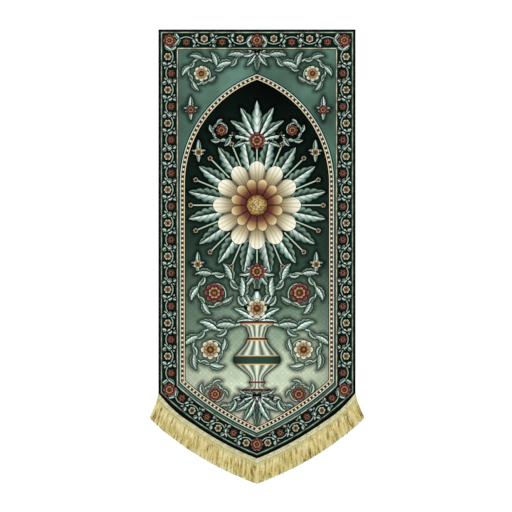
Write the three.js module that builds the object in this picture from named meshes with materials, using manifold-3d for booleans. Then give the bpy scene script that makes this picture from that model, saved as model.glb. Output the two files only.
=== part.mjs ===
// A hanging velvet banner: a tall printed panel whose lower edge runs down to a point
// in two shallow arcs, with a gold fringe sewn along that pointed hem.
// Millimetres, +Z up, the printed face towards -Y. The origin is the middle of the top
// edge, on the back of the turned hem, so the panel hangs down along -Z and stands in
// front of the plane Y = 0 that it is fixed to.
import * as THREE from "three";
import { mergeVertices } from "three/addons/utils/BufferGeometryUtils.js";
import Module from "manifold-3d";

const wasm = await Module();
wasm.setup();

// Driving dimensions of the panel.
const WIDTH = 500;
const HALF_WIDTH = WIDTH / 2;
const SIDE_LENGTH = 924; // from the top edge to the corner where the fringe starts
const POINT_LENGTH = 1086; // from the top edge to the tip of the pointed hem
const ARC_BULGE = 14.5; // how far each half of the hem bows out from a straight line
const CLOTH = 1.6; // one layer of velvet with its pile
const TURNED = 2 * CLOTH; // two layers, where a hem is turned to the back
const TOP_HEM = 25;
const SIDE_HEM = 12;
const LOWER_HEM = 14;
const HEM_STEP = 0.6; // the run over which a turned edge drops to the single layer
const UNDER_HEADING = 8; // how far the cloth reaches down behind the heading tape

// Driving dimensions of the fringe, measured down from the hem line.
const FRINGE_DEPTH_AT_POINT = 64;
const FRINGE_DEPTH_AT_CORNER = 61;
const HEADING_DEPTH = 13;
const HEADING_BODY = 2.2; // thickness of the woven tape between its two raised edges
const HEADING_EDGE = 3; // thickness over the raised edges
const EDGE_CORD = 2.6; // width of each raised edge
const HEADING_CORNER = 0.4; // how far the shoulders of a raised edge are rounded off
const STRANDS_A_SIDE = 150;
const STRAND_RADIUS = 1.15;
const STRAND_SIDES = 3; // neighbours are turned half round, so that their flanks nest
const STRAND_STEPS = 2;
const STRAND_LINE = 1.3; // how far the strands' centre line stands off the cloth's face
const STRAND_ROOT = 1; // how far a strand runs up into the heading
const LENGTH_UNEVENNESS = 1.6;
const SWAY = 0.8;
const SWAY_STRANDS = 16; // strands in one wave of the sideways sway
const END_FLARE = 10; // how strongly the strands beside a corner curve outwards
const FLARE_SHARPNESS = 8; // how closely that curve keeps to the corner
const SEAM_GAP = 0.35; // between the velvet and the heading that is sewn on it

// The soft vertical swells in which the panel hangs clear of its plane: where each one
// stands across the width, how wide and deep it is, and how far it wanders sideways.
const SWELLS = [
  { across: -182, spread: 72, depth: 5.2, wander: 20 },
  { across: -38, spread: 84, depth: 3.1, wander: -24 },
  { across: 118, spread: 76, depth: 4.4, wander: 16 },
];
const SWELL_START = 30; // below the top edge, where the swells begin
const SWELL_FULL = 760; // below the top edge, where they are at their full depth

// Mesh divisions.
const PANEL_COLUMNS = 24;
const PANEL_ROWS = 30;
const HEADING_STEPS_A_SIDE = 36;

// Each half of the hem is an arc from the tip to a corner. These follow from the sizes.
const RISE = POINT_LENGTH - SIDE_LENGTH;
const CHORD = Math.hypot(HALF_WIDTH, RISE);
const ARC_RADIUS = CHORD ** 2 / (8 * ARC_BULGE) + ARC_BULGE / 2;
const ALONG = new THREE.Vector2(HALF_WIDTH, RISE).divideScalar(CHORD);
const OUTWARD = new THREE.Vector2(ALONG.y, -ALONG.x);
const ARC_CENTRE = new THREE.Vector2(HALF_WIDTH / 2, -(SIDE_LENGTH + POINT_LENGTH) / 2)
  .addScaledVector(OUTWARD, ARC_BULGE - ARC_RADIUS);
const HALF_ARC = Math.asin(CHORD / 2 / ARC_RADIUS);

// The hem line's height at a place across the width.
function hemHeight(x) {
  const reach = Math.abs(x) - ARC_CENTRE.x;
  return ARC_CENTRE.y - Math.sqrt(ARC_RADIUS ** 2 - reach ** 2);
}

// A point of the hem line, for share -1 at the left corner, 0 at the tip, 1 at the right.
function hemPoint(share) {
  const angle = (2 * Math.abs(share) - 1) * HALF_ARC;
  const point = ARC_CENTRE.clone()
    .addScaledVector(OUTWARD, ARC_RADIUS * Math.cos(angle))
    .addScaledVector(ALONG, ARC_RADIUS * Math.sin(angle));
  point.x *= Math.sign(share);
  return point;
}

// The fringe hangs straight down at the tip and fans outwards towards the corners.
function lean(share) {
  return 2 * share * HALF_ARC;
}

// The point at a depth below the hem line, down the fringe.
function fringePoint(share, depth) {
  const angle = lean(share);
  const reach = depth / FRINGE_DEPTH_AT_CORNER;
  const flare = END_FLARE * Math.abs(share) ** FLARE_SHARPNESS * (reach ** 2 - reach);
  return hemPoint(share).add(
    new THREE.Vector2(
      depth * Math.sin(angle) + Math.sign(share) * flare,
      -depth * Math.cos(angle),
    ),
  );
}

// How far the cloth stands out from its plane at a place on the panel.
function swellOut(x, z) {
  const down = THREE.MathUtils.smoothstep(-z, SWELL_START, SWELL_FULL);
  let out = 0;
  for (const swell of SWELLS) {
    const offset = (x - swell.across - swell.wander * down) / swell.spread;
    out += swell.depth * Math.exp(-(offset ** 2));
  }
  return down * out;
}

// The printed face of the cloth. Its hems' backs lie on Y = 0 at the top edge.
function faceY(x, z) {
  return -TURNED - swellOut(x, z);
}

// Moves every vertex of a geometry through a function of its place, and merges it.
function bend(geometry, place) {
  const bent = geometry.clone();
  bent.deleteAttribute("normal");
  bent.deleteAttribute("uv");
  const points = bent.attributes.position;
  const at = new THREE.Vector3();
  for (let i = 0; i < points.count; i++) {
    at.fromBufferAttribute(points, i);
    const moved = place(at);
    points.setXYZ(i, moved.x, moved.y, moved.z);
  }
  return mergeVertices(bent, 1e-4);
}

function solidFrom(geometry) {
  const mesh = new wasm.Mesh({
    numProp: 3,
    vertProperties: new Float32Array(geometry.attributes.position.array),
    triVerts: new Uint32Array(geometry.index.array),
  });
  return new wasm.Manifold(mesh);
}

function geometryFrom(solid) {
  const mesh = solid.getMesh();
  return new THREE.BufferGeometry()
    .setAttribute("position", new THREE.BufferAttribute(mesh.vertProperties, 3))
    .setIndex(new THREE.BufferAttribute(mesh.triVerts, 1));
}

// The grid lines across or down the panel: a hem, its step, even spaces, a step, a hem.
function gridLines(start, end, firstHem, lastHem, count) {
  const inner = { from: start + firstHem + HEM_STEP, to: end - lastHem - HEM_STEP };
  const lines = [start, start + firstHem];
  const spaces = count - 4;
  for (let i = 0; i <= spaces; i++) {
    lines.push(THREE.MathUtils.lerp(inner.from, inner.to, i / spaces));
  }
  return [...lines, end - lastHem, end];
}

// The panel: one sheet with its hems turned to the back, hanging in its soft swells.
function velvetPanel() {
  const columns = gridLines(-HALF_WIDTH, HALF_WIDTH, SIDE_HEM, SIDE_HEM, PANEL_COLUMNS);
  const box = new THREE.BoxGeometry(1, 1, 1, PANEL_COLUMNS, 1, PANEL_ROWS);
  return bend(box, (at) => {
    const column = Math.round((at.x + 0.5) * PANEL_COLUMNS);
    const row = Math.round((0.5 - at.z) * PANEL_ROWS);
    const x = columns[column];
    const bottom = UNDER_HEADING - hemHeight(x);
    const z = -gridLines(0, bottom, TOP_HEM, LOWER_HEM, PANEL_ROWS)[row];
    const inField = column > 1 && column < PANEL_COLUMNS - 1 && row > 1 && row < PANEL_ROWS - 1;
    const onBack = at.y > 0;
    const thickness = inField ? CLOTH : TURNED;
    return new THREE.Vector3(x, faceY(x, z) + (onBack ? thickness : 0), z);
  });
}

// The heading tape's section: x is the depth below the hem line, y the height off the cloth.
function headingSection() {
  const shape = new THREE.Shape();
  shape.moveTo(0, 0);
  shape.lineTo(HEADING_DEPTH, 0);
  shape.lineTo(HEADING_DEPTH, HEADING_EDGE - HEADING_CORNER);
  shape.lineTo(HEADING_DEPTH - HEADING_CORNER, HEADING_EDGE);
  shape.lineTo(HEADING_DEPTH - EDGE_CORD + HEADING_CORNER, HEADING_EDGE);
  shape.lineTo(HEADING_DEPTH - EDGE_CORD, HEADING_BODY);
  shape.lineTo(EDGE_CORD, HEADING_BODY);
  shape.lineTo(EDGE_CORD - HEADING_CORNER, HEADING_EDGE);
  shape.lineTo(HEADING_CORNER, HEADING_EDGE);
  shape.lineTo(0, HEADING_EDGE - HEADING_CORNER);
  return shape;
}

// The heading, swept along the whole pointed hem, with a mitre at the tip.
function heading() {
  const run = new THREE.ExtrudeGeometry(headingSection(), {
    depth: 2,
    steps: 2 * HEADING_STEPS_A_SIDE,
    bevelEnabled: false,
  });
  return bend(run, (at) => {
    const step = Math.round(at.z * HEADING_STEPS_A_SIDE);
    const share = 1 - step / HEADING_STEPS_A_SIDE;
    const point = fringePoint(share, at.x);
    return new THREE.Vector3(point.x, faceY(point.x, point.y) - SEAM_GAP - at.y, point.y);
  });
}

// A repeatable uneven value from -1 to 1 for a strand.
function uneven(number) {
  const mixed = Math.sin(number * 12.9898 + 4.1414) * 43758.5453;
  return 2 * (mixed - Math.floor(mixed)) - 1;
}

// One strand, from inside the heading down to its own uneven length.
function strand(side, index) {
  const share = (side * (index + 0.5)) / STRANDS_A_SIDE;
  const number = side * (index + 1);
  const full = THREE.MathUtils.lerp(
    FRINGE_DEPTH_AT_POINT,
    FRINGE_DEPTH_AT_CORNER,
    Math.abs(share),
  );
  const root = HEADING_DEPTH - STRAND_ROOT;
  const tip = full + LENGTH_UNEVENNESS * uneven(number);
  const swayed = SWAY * Math.sin((2 * Math.PI * number) / SWAY_STRANDS);
  const turned = index % 2 === 0 ? 1 : -1;
  const rod = new THREE.CylinderGeometry(
    STRAND_RADIUS,
    STRAND_RADIUS,
    1,
    STRAND_SIDES,
    STRAND_STEPS,
  );
  return bend(rod, (at) => {
    const down = 0.5 - at.y;
    const centre = fringePoint(share, THREE.MathUtils.lerp(root, tip, down));
    const angle = lean(share);
    const across = turned * at.x + swayed * down ** 2;
    const x = centre.x + across * Math.cos(angle);
    const z = centre.y + across * Math.sin(angle);
    const y = faceY(centre.x, centre.y) - SEAM_GAP - STRAND_LINE - turned * at.z;
    return new THREE.Vector3(x, y, z);
  });
}

// The fringe: the heading with every strand's root fused into its lower edge.
function goldFringe() {
  const pieces = [solidFrom(heading())];
  for (const side of [-1, 1]) {
    for (let index = 0; index < STRANDS_A_SIDE; index++) {
      pieces.push(solidFrom(strand(side, index)));
    }
  }
  return geometryFrom(wasm.Manifold.union(pieces));
}

const printedVelvet = new THREE.MeshStandardMaterial({
  color: 0x6f7c6b,
  roughness: 0.95,
  metalness: 0,
});
const goldThread = new THREE.MeshStandardMaterial({
  color: 0xcdb679,
  roughness: 0.45,
  metalness: 0.5,
});

const banner = new THREE.Group();
for (const [name, geometry, material] of [
  ["velvet_panel", velvetPanel(), printedVelvet],
  ["gold_fringe", goldFringe(), goldThread],
]) {
  const mesh = new THREE.Mesh(geometry, material);
  mesh.name = name;
  banner.add(mesh);
}

export default banner;
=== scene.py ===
"""A hanging velvet banner with a pointed lower edge and a gold fringe.

The velvet is one printed sheet with its hems turned to the back. The fringe is a woven
heading with corded edges and a skirt of metallised yarns. The print is traditional garden
ornament: a pointed arch, a rosette, scrolling leaves and a vase inside a running border.
All sizes are millimetres and become metres where a mesh is written. +Z is up and the
printed face looks towards -Y.
"""

import logging
import math
from dataclasses import dataclass, field
from enum import Enum
from typing import Sequence

import bmesh
import bpy
import numpy as np
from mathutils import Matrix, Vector


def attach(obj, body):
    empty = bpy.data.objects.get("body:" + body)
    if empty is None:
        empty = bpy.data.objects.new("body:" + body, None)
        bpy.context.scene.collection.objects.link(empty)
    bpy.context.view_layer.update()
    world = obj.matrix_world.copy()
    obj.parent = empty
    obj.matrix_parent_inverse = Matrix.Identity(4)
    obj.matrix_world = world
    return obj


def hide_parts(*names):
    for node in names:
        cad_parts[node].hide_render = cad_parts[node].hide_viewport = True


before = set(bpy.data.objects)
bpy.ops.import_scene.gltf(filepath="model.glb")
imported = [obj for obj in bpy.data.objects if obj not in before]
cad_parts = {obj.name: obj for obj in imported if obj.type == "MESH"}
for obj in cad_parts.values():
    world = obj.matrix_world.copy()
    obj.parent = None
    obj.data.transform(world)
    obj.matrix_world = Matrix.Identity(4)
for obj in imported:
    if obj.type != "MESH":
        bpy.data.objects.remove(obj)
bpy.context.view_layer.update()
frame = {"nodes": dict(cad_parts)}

LOG = logging.getLogger("banner")
MM = 0.001
ROOT = "root"
FAR_OUTSIDE = -40.0  # what a shape's inside distance is where no such shape is near
REACH = 14.0  # how far outside its outline a printed shape is still measured
SEAM_SLOPE = 0.5  # how softly a leaf's colour returns beside a leaf that it crosses
SEAM_WIDTH = 1.1  # how far apart the two have to be before it does
NEARLY = 0.99  # a share beyond this is the last one of its row
TINY = 1e-6  # how near the end of its range a share counts as being there

Array = np.ndarray
Pair = tuple[float, float]
Mesh = bpy.types.Mesh
Piece = bpy.types.Object
Material = bpy.types.Material
Tree = bpy.types.NodeTree
Node = bpy.types.Node
Socket = bpy.types.NodeSocket
Parts = dict[str, list[Socket]]
Stops = Sequence[tuple]


def linear(colour: str) -> tuple[float, float, float, float]:
    """Turns an sRGB hex colour into the linear colour that a socket takes.

    Args:
        colour: The colour as #rrggbb.

    Returns:
        Red, green, blue and an alpha of one.
    """
    parts = [int(colour[i : i + 2], 16) / 255 for i in (1, 3, 5)]
    return (*(p / 12.92 if p <= 0.04045 else ((p + 0.055) / 1.055) ** 2.4 for p in parts), 1.0)


def add_node(
    tree: Tree, kind: str, inputs: dict | None = None, stops: Stops = (), **settings: object
) -> Node:
    """Adds a shader node with its settings, its inputs and, on a ramp, its stops.

    A MapRange turns the range of its inputs 1 and 2 into that of its inputs 3 and 4. A colour
    Mix has its factor at 0 and its colours at 6 and 7. The Math nodes count from 0.

    Args:
        tree: The material's node tree.
        kind: The node's type without its ShaderNode prefix.
        inputs: A value, a socket or a node for each input's number or name.
        stops: Place and hex colour of each stop of a ramp, with an alpha if it isn't one.
        **settings: Properties that are set on the node itself.

    Returns:
        The new node.
    """
    made = tree.nodes.new("ShaderNode" + kind)
    for name, value in settings.items():
        setattr(made, name, value)
    for key, value in (inputs or {}).items():
        if isinstance(value, Node):
            value = next(socket for socket in value.outputs if socket.enabled)
        if isinstance(value, Socket):
            tree.links.new(value, made.inputs[key])
        else:
            made.inputs[key].default_value = value
    if stops:
        elements = made.color_ramp.elements
        while len(elements) < len(stops):
            elements.new(0.5)
        for element, (place, colour, *alpha) in zip(elements, stops):
            element.position = place
            element.color = (*linear(colour)[:3], alpha[0] if alpha else 1.0)
    return made


def bare_material(name: str) -> tuple[Material, Tree]:
    """Makes a material whose node tree is still empty.

    Args:
        name: The material's name, which says what it stands for.

    Returns:
        The material and its node tree.
    """
    material = bpy.data.materials.new(name)
    material.use_nodes = True
    material.node_tree.nodes.clear()
    return material, material.node_tree


def smoothstep(value: Array, low: float, high: float) -> Array:
    """Eases from 0 at the low value to 1 at the high one."""
    share = np.clip((value - low) / (high - low), 0, 1)
    return share * share * (3 - 2 * share)


@dataclass(frozen=True)
class PointedCut:
    """The cloth's outline: straight sides, and two shallow arcs that meet in a point."""

    half_width: float = 250.0
    side_length: float = 924.0
    point_length: float = 1086.0
    arc_bulge: float = 14.5
    under_heading: float = 8.0  # how far the cloth runs on behind the fringe's heading

    @property
    def chord(self) -> float:
        """The straight length from the tip to a corner."""
        return math.hypot(self.half_width, self.point_length - self.side_length)

    @property
    def radius(self) -> float:
        """The radius of each arc of the hem."""
        return self.chord**2 / (8 * self.arc_bulge) + self.arc_bulge / 2

    @property
    def along(self) -> Pair:
        """The direction from the tip to the right corner."""
        rise = self.point_length - self.side_length
        return self.half_width / self.chord, rise / self.chord

    @property
    def outward(self) -> Pair:
        """The direction square to the right half's chord, away from the cloth."""
        return self.along[1], -self.along[0]

    @property
    def centre(self) -> Pair:
        """The centre of the right half's arc.

        Returns:
            Its x and z.
        """
        inset = self.arc_bulge - self.radius
        middle = -(self.side_length + self.point_length) / 2
        return self.half_width / 2 + self.outward[0] * inset, middle + self.outward[1] * inset

    @property
    def half_arc(self) -> float:
        """Half the angle that each arc spans."""
        return math.asin(self.chord / 2 / self.radius)

    def hem_height(self, x: Array) -> Array:
        """The hem line's height at places across the width."""
        reach = np.abs(x) - self.centre[0]
        return self.centre[1] - np.sqrt(self.radius**2 - reach**2)

    def hem_point(self, share: Array) -> tuple[Array, Array]:
        """Points of the hem line.

        Args:
            share: -1 at the left corner, 0 at the tip and 1 at the right corner.

        Returns:
            The points' x and z.
        """
        angle = (2 * np.abs(share) - 1) * self.half_arc
        out, run = self.radius * np.cos(angle), self.radius * np.sin(angle)
        x = self.centre[0] + self.outward[0] * out + self.along[0] * run
        z = self.centre[1] + self.outward[1] * out + self.along[1] * run
        return x * np.sign(share), z

    def hem_length(self) -> float:
        """The length of the hem from the tip to a corner."""
        return 2 * self.half_arc * self.radius

    def distances(self, x: Array, z: Array) -> tuple[Array, Array, Array]:
        """How far points lie inside the cloth's edges.

        Args:
            x: Their places across.
            z: Their heights.

        Returns:
            Their distances from the top edge, from the nearer side and from the hem line.
        """
        hem = self.radius - np.hypot(np.abs(x) - self.centre[0], z - self.centre[1])
        return -z, self.half_width - np.abs(x), hem


@dataclass(frozen=True)
class Swell:
    """One soft vertical swell: its place across, width, depth and sideways wander."""

    across: float
    spread: float
    depth: float
    wander: float


@dataclass(frozen=True)
class HangingForm:
    """How the cloth stands out from the plane that its turned top hem lies on."""

    cloth: float = 1.6
    swell_start: float = 30.0
    swell_full: float = 760.0
    swells: tuple[Swell, ...] = (
        Swell(-182, 72, 5.2, 20), Swell(-38, 84, 3.1, -24), Swell(118, 76, 4.4, 16),
    )

    @property
    def turned(self) -> float:
        """The thickness of the two layers in a hem."""
        return 2 * self.cloth

    def face(self, x: Array, z: Array) -> Array:
        """The printed face at places on the panel.

        Args:
            x: The places across.
            z: Their heights.

        Returns:
            The face's y at each place.
        """
        down = smoothstep(-z, self.swell_start, self.swell_full)
        out = np.zeros_like(x)
        for swell in self.swells:
            offset = (x - swell.across - swell.wander * down) / swell.spread
            out += swell.depth * np.exp(-(offset**2))
        return -self.turned - down * out


@dataclass(frozen=True)
class FringeForm:
    """The lines along which the fringe hangs below the hem."""

    cut: PointedCut = field(default_factory=PointedCut)
    hanging: HangingForm = field(default_factory=HangingForm)
    yarn_depth: float = 66.0  # to the yarns' thin ends
    end_trim: float = 4.5  # how much shorter the outermost yarns are
    trim_sharpness: float = 24.0
    heading_top: float = 2.2
    heading_depth: float = 12.6
    seam_gap: float = 0.35
    end_flare: float = 10.0
    flare_sharpness: float = 8.0
    end_rise: float = 4.0  # how far the sewn-on heading rides up at its two ends
    rise_start: float = 0.88  # where it starts to, as a share of the hem
    slack: float = 3.2  # how far it sags a little before each end
    slack_place: float = 0.77
    slack_spread: float = 0.11

    def ride(self, share: Array) -> Array:
        """How far the heading lies above its even line.

        Args:
            share: The place along the hem, from -1 to 1.

        Returns:
            The height, which is negative where the heading sags.
        """
        end = np.abs(share)
        sag = np.exp(-(((end - self.slack_place) / self.slack_spread) ** 2))
        return self.end_rise * smoothstep(end, self.rise_start, 1.0) - self.slack * sag

    def full_depth(self, share: Array) -> Array:
        """The fringe's depth along the hem."""
        return self.yarn_depth - self.end_trim * np.abs(share) ** self.trim_sharpness

    def lean(self, share: Array) -> Array:
        """The strands' lean from straight down, in radians."""
        return 2 * share * self.cut.half_arc

    def place(self, share: Array, depth: Array, lift: Array, across: Array | float = 0.0) -> Array:
        """Points of the fringe.

        Args:
            share: The place along the hem, from -1 to 1.
            depth: How far down from the hem line.
            lift: How far off the cloth's face.
            across: A sideways offset along the hem.

        Returns:
            The points, with x, y and z in the last axis.
        """
        angle = self.lean(share)
        reach = depth / (self.yarn_depth - self.end_trim)
        flare = self.end_flare * np.abs(share) ** self.flare_sharpness * (reach**2 - reach)
        x, z = self.cut.hem_point(share)
        x = x + depth * np.sin(angle) + np.sign(share) * flare
        z = z - depth * np.cos(angle) + self.ride(share) * np.clip(1 - reach, 0, 1)
        y = self.hanging.face(x, z) - self.seam_gap - lift
        return np.stack([x + across * np.cos(angle), y, z + across * np.sin(angle)], -1)


class Petals(Enum):
    """The two colourings of a printed blossom."""

    CREAM = 0.0
    MAROON = 1.0


@dataclass
class Sheet:
    """The points that a motif is drawn on, with how far each lies inside the motif's field."""

    x: Array
    z: Array
    numbers: Array
    limit: Array

    def near(self, low: Array, high: Array) -> "Sheet":
        """Picks the points in or near a box.

        Args:
            low: The box's lowest x and z.
            high: Its highest x and z.

        Returns:
            Those points, still under their own numbers.
        """
        wide = (self.x > low[0] - REACH) & (self.x < high[0] + REACH)
        tall = (self.z > low[1] - REACH) & (self.z < high[1] + REACH)
        kept = np.nonzero(wide & tall)[0]
        return Sheet(self.x[kept], self.z[kept], self.numbers[kept], self.limit[kept])


def spine(start: Sequence[float], heading: float, length: float, curl: float) -> Array:
    """The midline of a leaf that sets out with a heading and curls evenly.

    Args:
        start: Where it begins.
        heading: Its first direction, in radians from +x.
        length: Its length.
        curl: How far it has turned at its tip.

    Returns:
        The midline's points.
    """
    count = 13
    angle = heading + curl * np.linspace(0, 1, count)[:-1]
    steps = np.stack([np.cos(angle), np.sin(angle)], 1) * length / (count - 1)
    return np.concatenate([[start], np.asarray(start) + np.cumsum(steps, 0)])


def measure(line: Array, sheet: Sheet) -> tuple[Array, Array]:
    """Measures points against a line.

    Args:
        line: The line's points.
        sheet: The points to measure.

    Returns:
        Their distance from it, negative on its right, and the nearest place's share of its run.
    """
    start, step = line[:-1], np.diff(line, axis=0)
    length = np.hypot(step[:, 0], step[:, 1])
    from_x = sheet.x[:, None] - start[:, 0]
    from_z = sheet.z[:, None] - start[:, 1]
    share = np.clip((from_x * step[:, 0] + from_z * step[:, 1]) / length**2, 0, 1)
    away = np.hypot(from_x - share * step[:, 0], from_z - share * step[:, 1])
    nearest = away.argmin(1)
    row = np.arange(nearest.size)
    side = step[nearest, 0] * from_z[row, nearest] - step[nearest, 1] * from_x[row, nearest]
    before = np.concatenate([[0], np.cumsum(length)[:-1]])
    run = (before[nearest] + share[row, nearest] * length[nearest]) / length.sum()
    return np.sign(side) * away[row, nearest], run


class PrintFields:
    """What the print is at each point, as smooth numbers that a shader turns into ink.

    Each shape is known by its inside distance, in millimetres and negative outside it.
    """

    leaf_fullness: float = 0.72  # below 1, a leaf is widest nearer its root than its tip
    lobe_depth: float = 0.26
    petal_depth: float = 0.26
    inner_ring: float = 0.44  # the inner petals' shortest reach, as a share of a blossom's radius
    inner_depth: float = 0.16
    heart_share: float = 0.24

    def __init__(self, x: Array, z: Array) -> None:
        """Starts with bare cloth.

        Args:
            x: Places of the panel's points across.
            z: Their heights.
        """
        self.sheet = Sheet(np.abs(x), z, np.arange(x.size), np.full(x.size, -FAR_OUTSIDE))
        self.stem, self.leaf, self.beaten, self.bloom, self.inner, self.heart, self.vase = (
            np.full(x.size, FAR_OUTSIDE) for _ in range(7)
        )
        self.across, self.down, self.tone, self.petal, self.ratio, self.hue = (
            np.zeros(x.size) for _ in range(6)
        )
        self.flute, self.fall, self.half = (np.zeros(x.size) for _ in range(3))
        self.offset = np.full(x.size, -FAR_OUTSIDE)

    def add_stem(self, line: Array, width: float, taper: float, sheet: Sheet | None = None) -> None:
        """Draws a stem.

        Args:
            line: Its midline.
            width: Half its width at the root.
            taper: The share of that width at its end.
            sheet: The points to draw on, or the whole cloth.
        """
        near = (sheet or self.sheet).near(line.min(0) - width, line.max(0) + width)
        away, run = measure(line, near)
        half = width * (1 - (1 - taper) * run)
        inside = np.minimum(half - np.abs(away), near.limit)
        over = inside > self.stem[near.numbers]
        numbers = near.numbers[over]
        self.stem[numbers] = inside[over]
        self.offset[numbers] = away[over]
        self.half[numbers] = half[over]

    def add_leaf(
        self,
        line: Array,
        width: float,
        tone: float,
        lobes: int = 0,
        lopsided: float = 0.0,
        sheet: Sheet | None = None,
    ) -> None:
        """Draws a leaf.

        Args:
            line: Its midrib.
            width: Half its width where it is widest.
            tone: How pale it is, from 0 to 1.
            lobes: How many lobes each edge has, or none.
            lopsided: How much wider its left half is than its right one.
            sheet: The points to draw on, or the whole cloth.
        """
        near = (sheet or self.sheet).near(line.min(0) - width, line.max(0) + width)
        away, run = measure(line, near)
        half = width * np.sin(np.pi * run**self.leaf_fullness).clip(0) ** 0.85
        half = half * (1 + lopsided * np.sign(away))
        if lobes:
            lobe = np.abs(np.sin(np.pi * lobes * run)) ** 0.8
            half *= 1 - self.lobe_depth + self.lobe_depth * lobe
        inside = np.minimum(half - np.abs(away), near.limit)
        over = inside > self.leaf[near.numbers]
        loser = np.where(over, self.leaf[near.numbers], inside)
        self.beaten[near.numbers] = np.maximum(self.beaten[near.numbers], loser)
        numbers = near.numbers[over]
        self.leaf[numbers] = inside[over]
        self.across[numbers] = np.clip(away[over] / np.maximum(half[over], 0.6), -2, 2)
        self.down[numbers] = run[over] * max(lobes, 3)
        self.tone[numbers] = tone

    def parted_leaves(self) -> Array:
        """The leaves' inside distance, with a dark line wherever one leaf crosses another."""
        return np.minimum(self.leaf, SEAM_SLOPE * (self.leaf - self.beaten - SEAM_WIDTH))

    def add_bloom(
        self, centre: Pair, radius: float, petals: int, kind: Petals, sheet: Sheet | None = None
    ) -> None:
        """Draws a blossom of two rings of petals round a heart.

        Args:
            centre: Its middle.
            radius: Its outer radius.
            petals: How many petals a ring has.
            kind: Its colouring.
            sheet: The points to draw on, or the whole cloth.
        """
        middle = np.array(centre)
        near = (sheet or self.sheet).near(middle - radius, middle + radius)
        out = np.hypot(near.x - centre[0], near.z - centre[1])
        angle = np.arctan2(near.x - centre[0], near.z - centre[1])
        tip = np.abs(np.cos(petals * angle / 2)) ** 0.6
        outer = radius * (1 - self.petal_depth + self.petal_depth * tip)
        inside = np.minimum(outer - out, near.limit)
        over = inside > self.bloom[near.numbers]
        numbers = near.numbers[over]
        out, angle = out[over], angle[over]
        ring = np.abs(np.sin(petals * angle / 2)) ** 0.6
        self.bloom[numbers] = inside[over]
        self.inner[numbers] = radius * (self.inner_ring + self.inner_depth * ring) - out
        self.heart[numbers] = radius * self.heart_share - out
        self.petal[numbers] = np.cos(petals * angle)
        self.ratio[numbers] = out / radius
        self.hue[numbers] = kind.value


@dataclass(frozen=True)
class Scroll:
    """A stem that sweeps from its root into a spiral round a blossom."""

    root: Pair
    heading: float
    centre: Pair
    radius: float
    start: float  # where on the spiral the stem arrives, in radians from +x
    hand: int  # 1 where the spiral turns left and -1 where it turns right
    tone: float = 0.45
    petals: Petals = Petals.CREAM
    turns: float = 1.2
    stem: float = 3.3
    leafy: float = 0.84  # the share of the stem that bears leaves
    leaf_pitch: float = 0.47  # between two leaves, in radii
    leaf_lean: float = 0.9  # how far a leaf sets out from the stem's direction
    leaf_width: float = 0.27  # half a leaf's width, as a share of its length
    inner_leaf: float = 0.6  # the size of a leaf inside the spiral beside one outside it
    large_leaf: float = 26.0  # longer leaves have five lobes, and shorter ones three
    blossom: float = 0.46  # its radius, in radii of the spiral

    def line(self) -> Array:
        """The stem's midline: an easy curve from the root, then the spiral.

        Returns:
            The line's points.
        """
        middle = np.array(self.centre)
        root = np.array(self.root)
        arrive = middle + self.radius * np.array([math.cos(self.start), math.sin(self.start)])
        way = self.start + self.hand * math.pi / 2
        pull = 0.45 * math.dist(root, arrive)
        leave = root + pull * np.array([math.cos(self.heading), math.sin(self.heading)])
        meet = arrive - pull * np.array([math.cos(way), math.sin(way)])
        t = np.linspace(0, 1, 16)[:-1, None]
        lead = (1 - t) ** 3 * root + 3 * (1 - t) ** 2 * t * leave
        lead = lead + 3 * (1 - t) * t**2 * meet + t**3 * arrive
        t = np.linspace(0, 1, 36)
        angle = self.start + self.hand * self.turns * 2 * np.pi * t
        out = self.radius * (1 - 0.62 * t**0.85)
        curl = middle + np.stack([out * np.cos(angle), out * np.sin(angle)], 1)
        return np.concatenate([lead, curl])

    def draw(self, fields: PrintFields) -> None:
        """Draws the stem, its leaves and its blossom.

        Args:
            fields: The print.
        """
        line = self.line()
        fields.add_stem(line, self.stem, 0.55)
        steps = np.diff(line, axis=0)
        run = np.concatenate([[0], np.cumsum(np.hypot(steps[:, 0], steps[:, 1]))])
        pitch = self.radius * self.leaf_pitch
        for number in range(int(run[-1] * self.leafy / pitch)):
            place = (number + 0.7) * pitch
            at = int(np.searchsorted(run, place))
            way = math.atan2(steps[at, 1], steps[at, 0])
            inner = number % 2 == 1
            side = self.hand if inner else -self.hand
            size = self.radius * (1.12 - 0.6 * place / run[-1])
            size *= self.inner_leaf if inner else 1.0
            curl = -side * (1.5 if inner else 1.3)
            rib = spine(line[at], way + side * self.leaf_lean, size, curl)
            tone = self.tone + 0.2 * (number % 3 - 1)
            lobes = 5 if size > self.large_leaf else 3
            fields.add_leaf(rib, size * self.leaf_width, tone, lobes, -0.25 * side)
        fields.add_bloom(self.centre, self.radius * self.blossom, 8, self.petals)


@dataclass(frozen=True)
class Palmette:
    """A fan of lobed leaves round one root."""

    root: Pair
    heading: float
    size: float
    count: int = 9
    spread: float = 1.45  # how far its outermost leaves lean from the middle one
    tone: float = 0.4
    width: float = 0.15

    def draw(self, fields: PrintFields) -> None:
        """Draws the fan from its outermost leaves inwards.

        Args:
            fields: The print.
        """
        shares = np.linspace(-1, 1, self.count)
        for number in sorted(range(self.count), key=lambda k: -abs(shares[k])):
            share = float(shares[number])
            length = self.size * (1 - 0.4 * abs(share) ** 1.3)
            rib = spine(self.root, self.heading + share * self.spread, length, share * 0.9)
            fields.add_leaf(rib, length * self.width, self.tone + 0.25 * (number % 2), 5)


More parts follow.
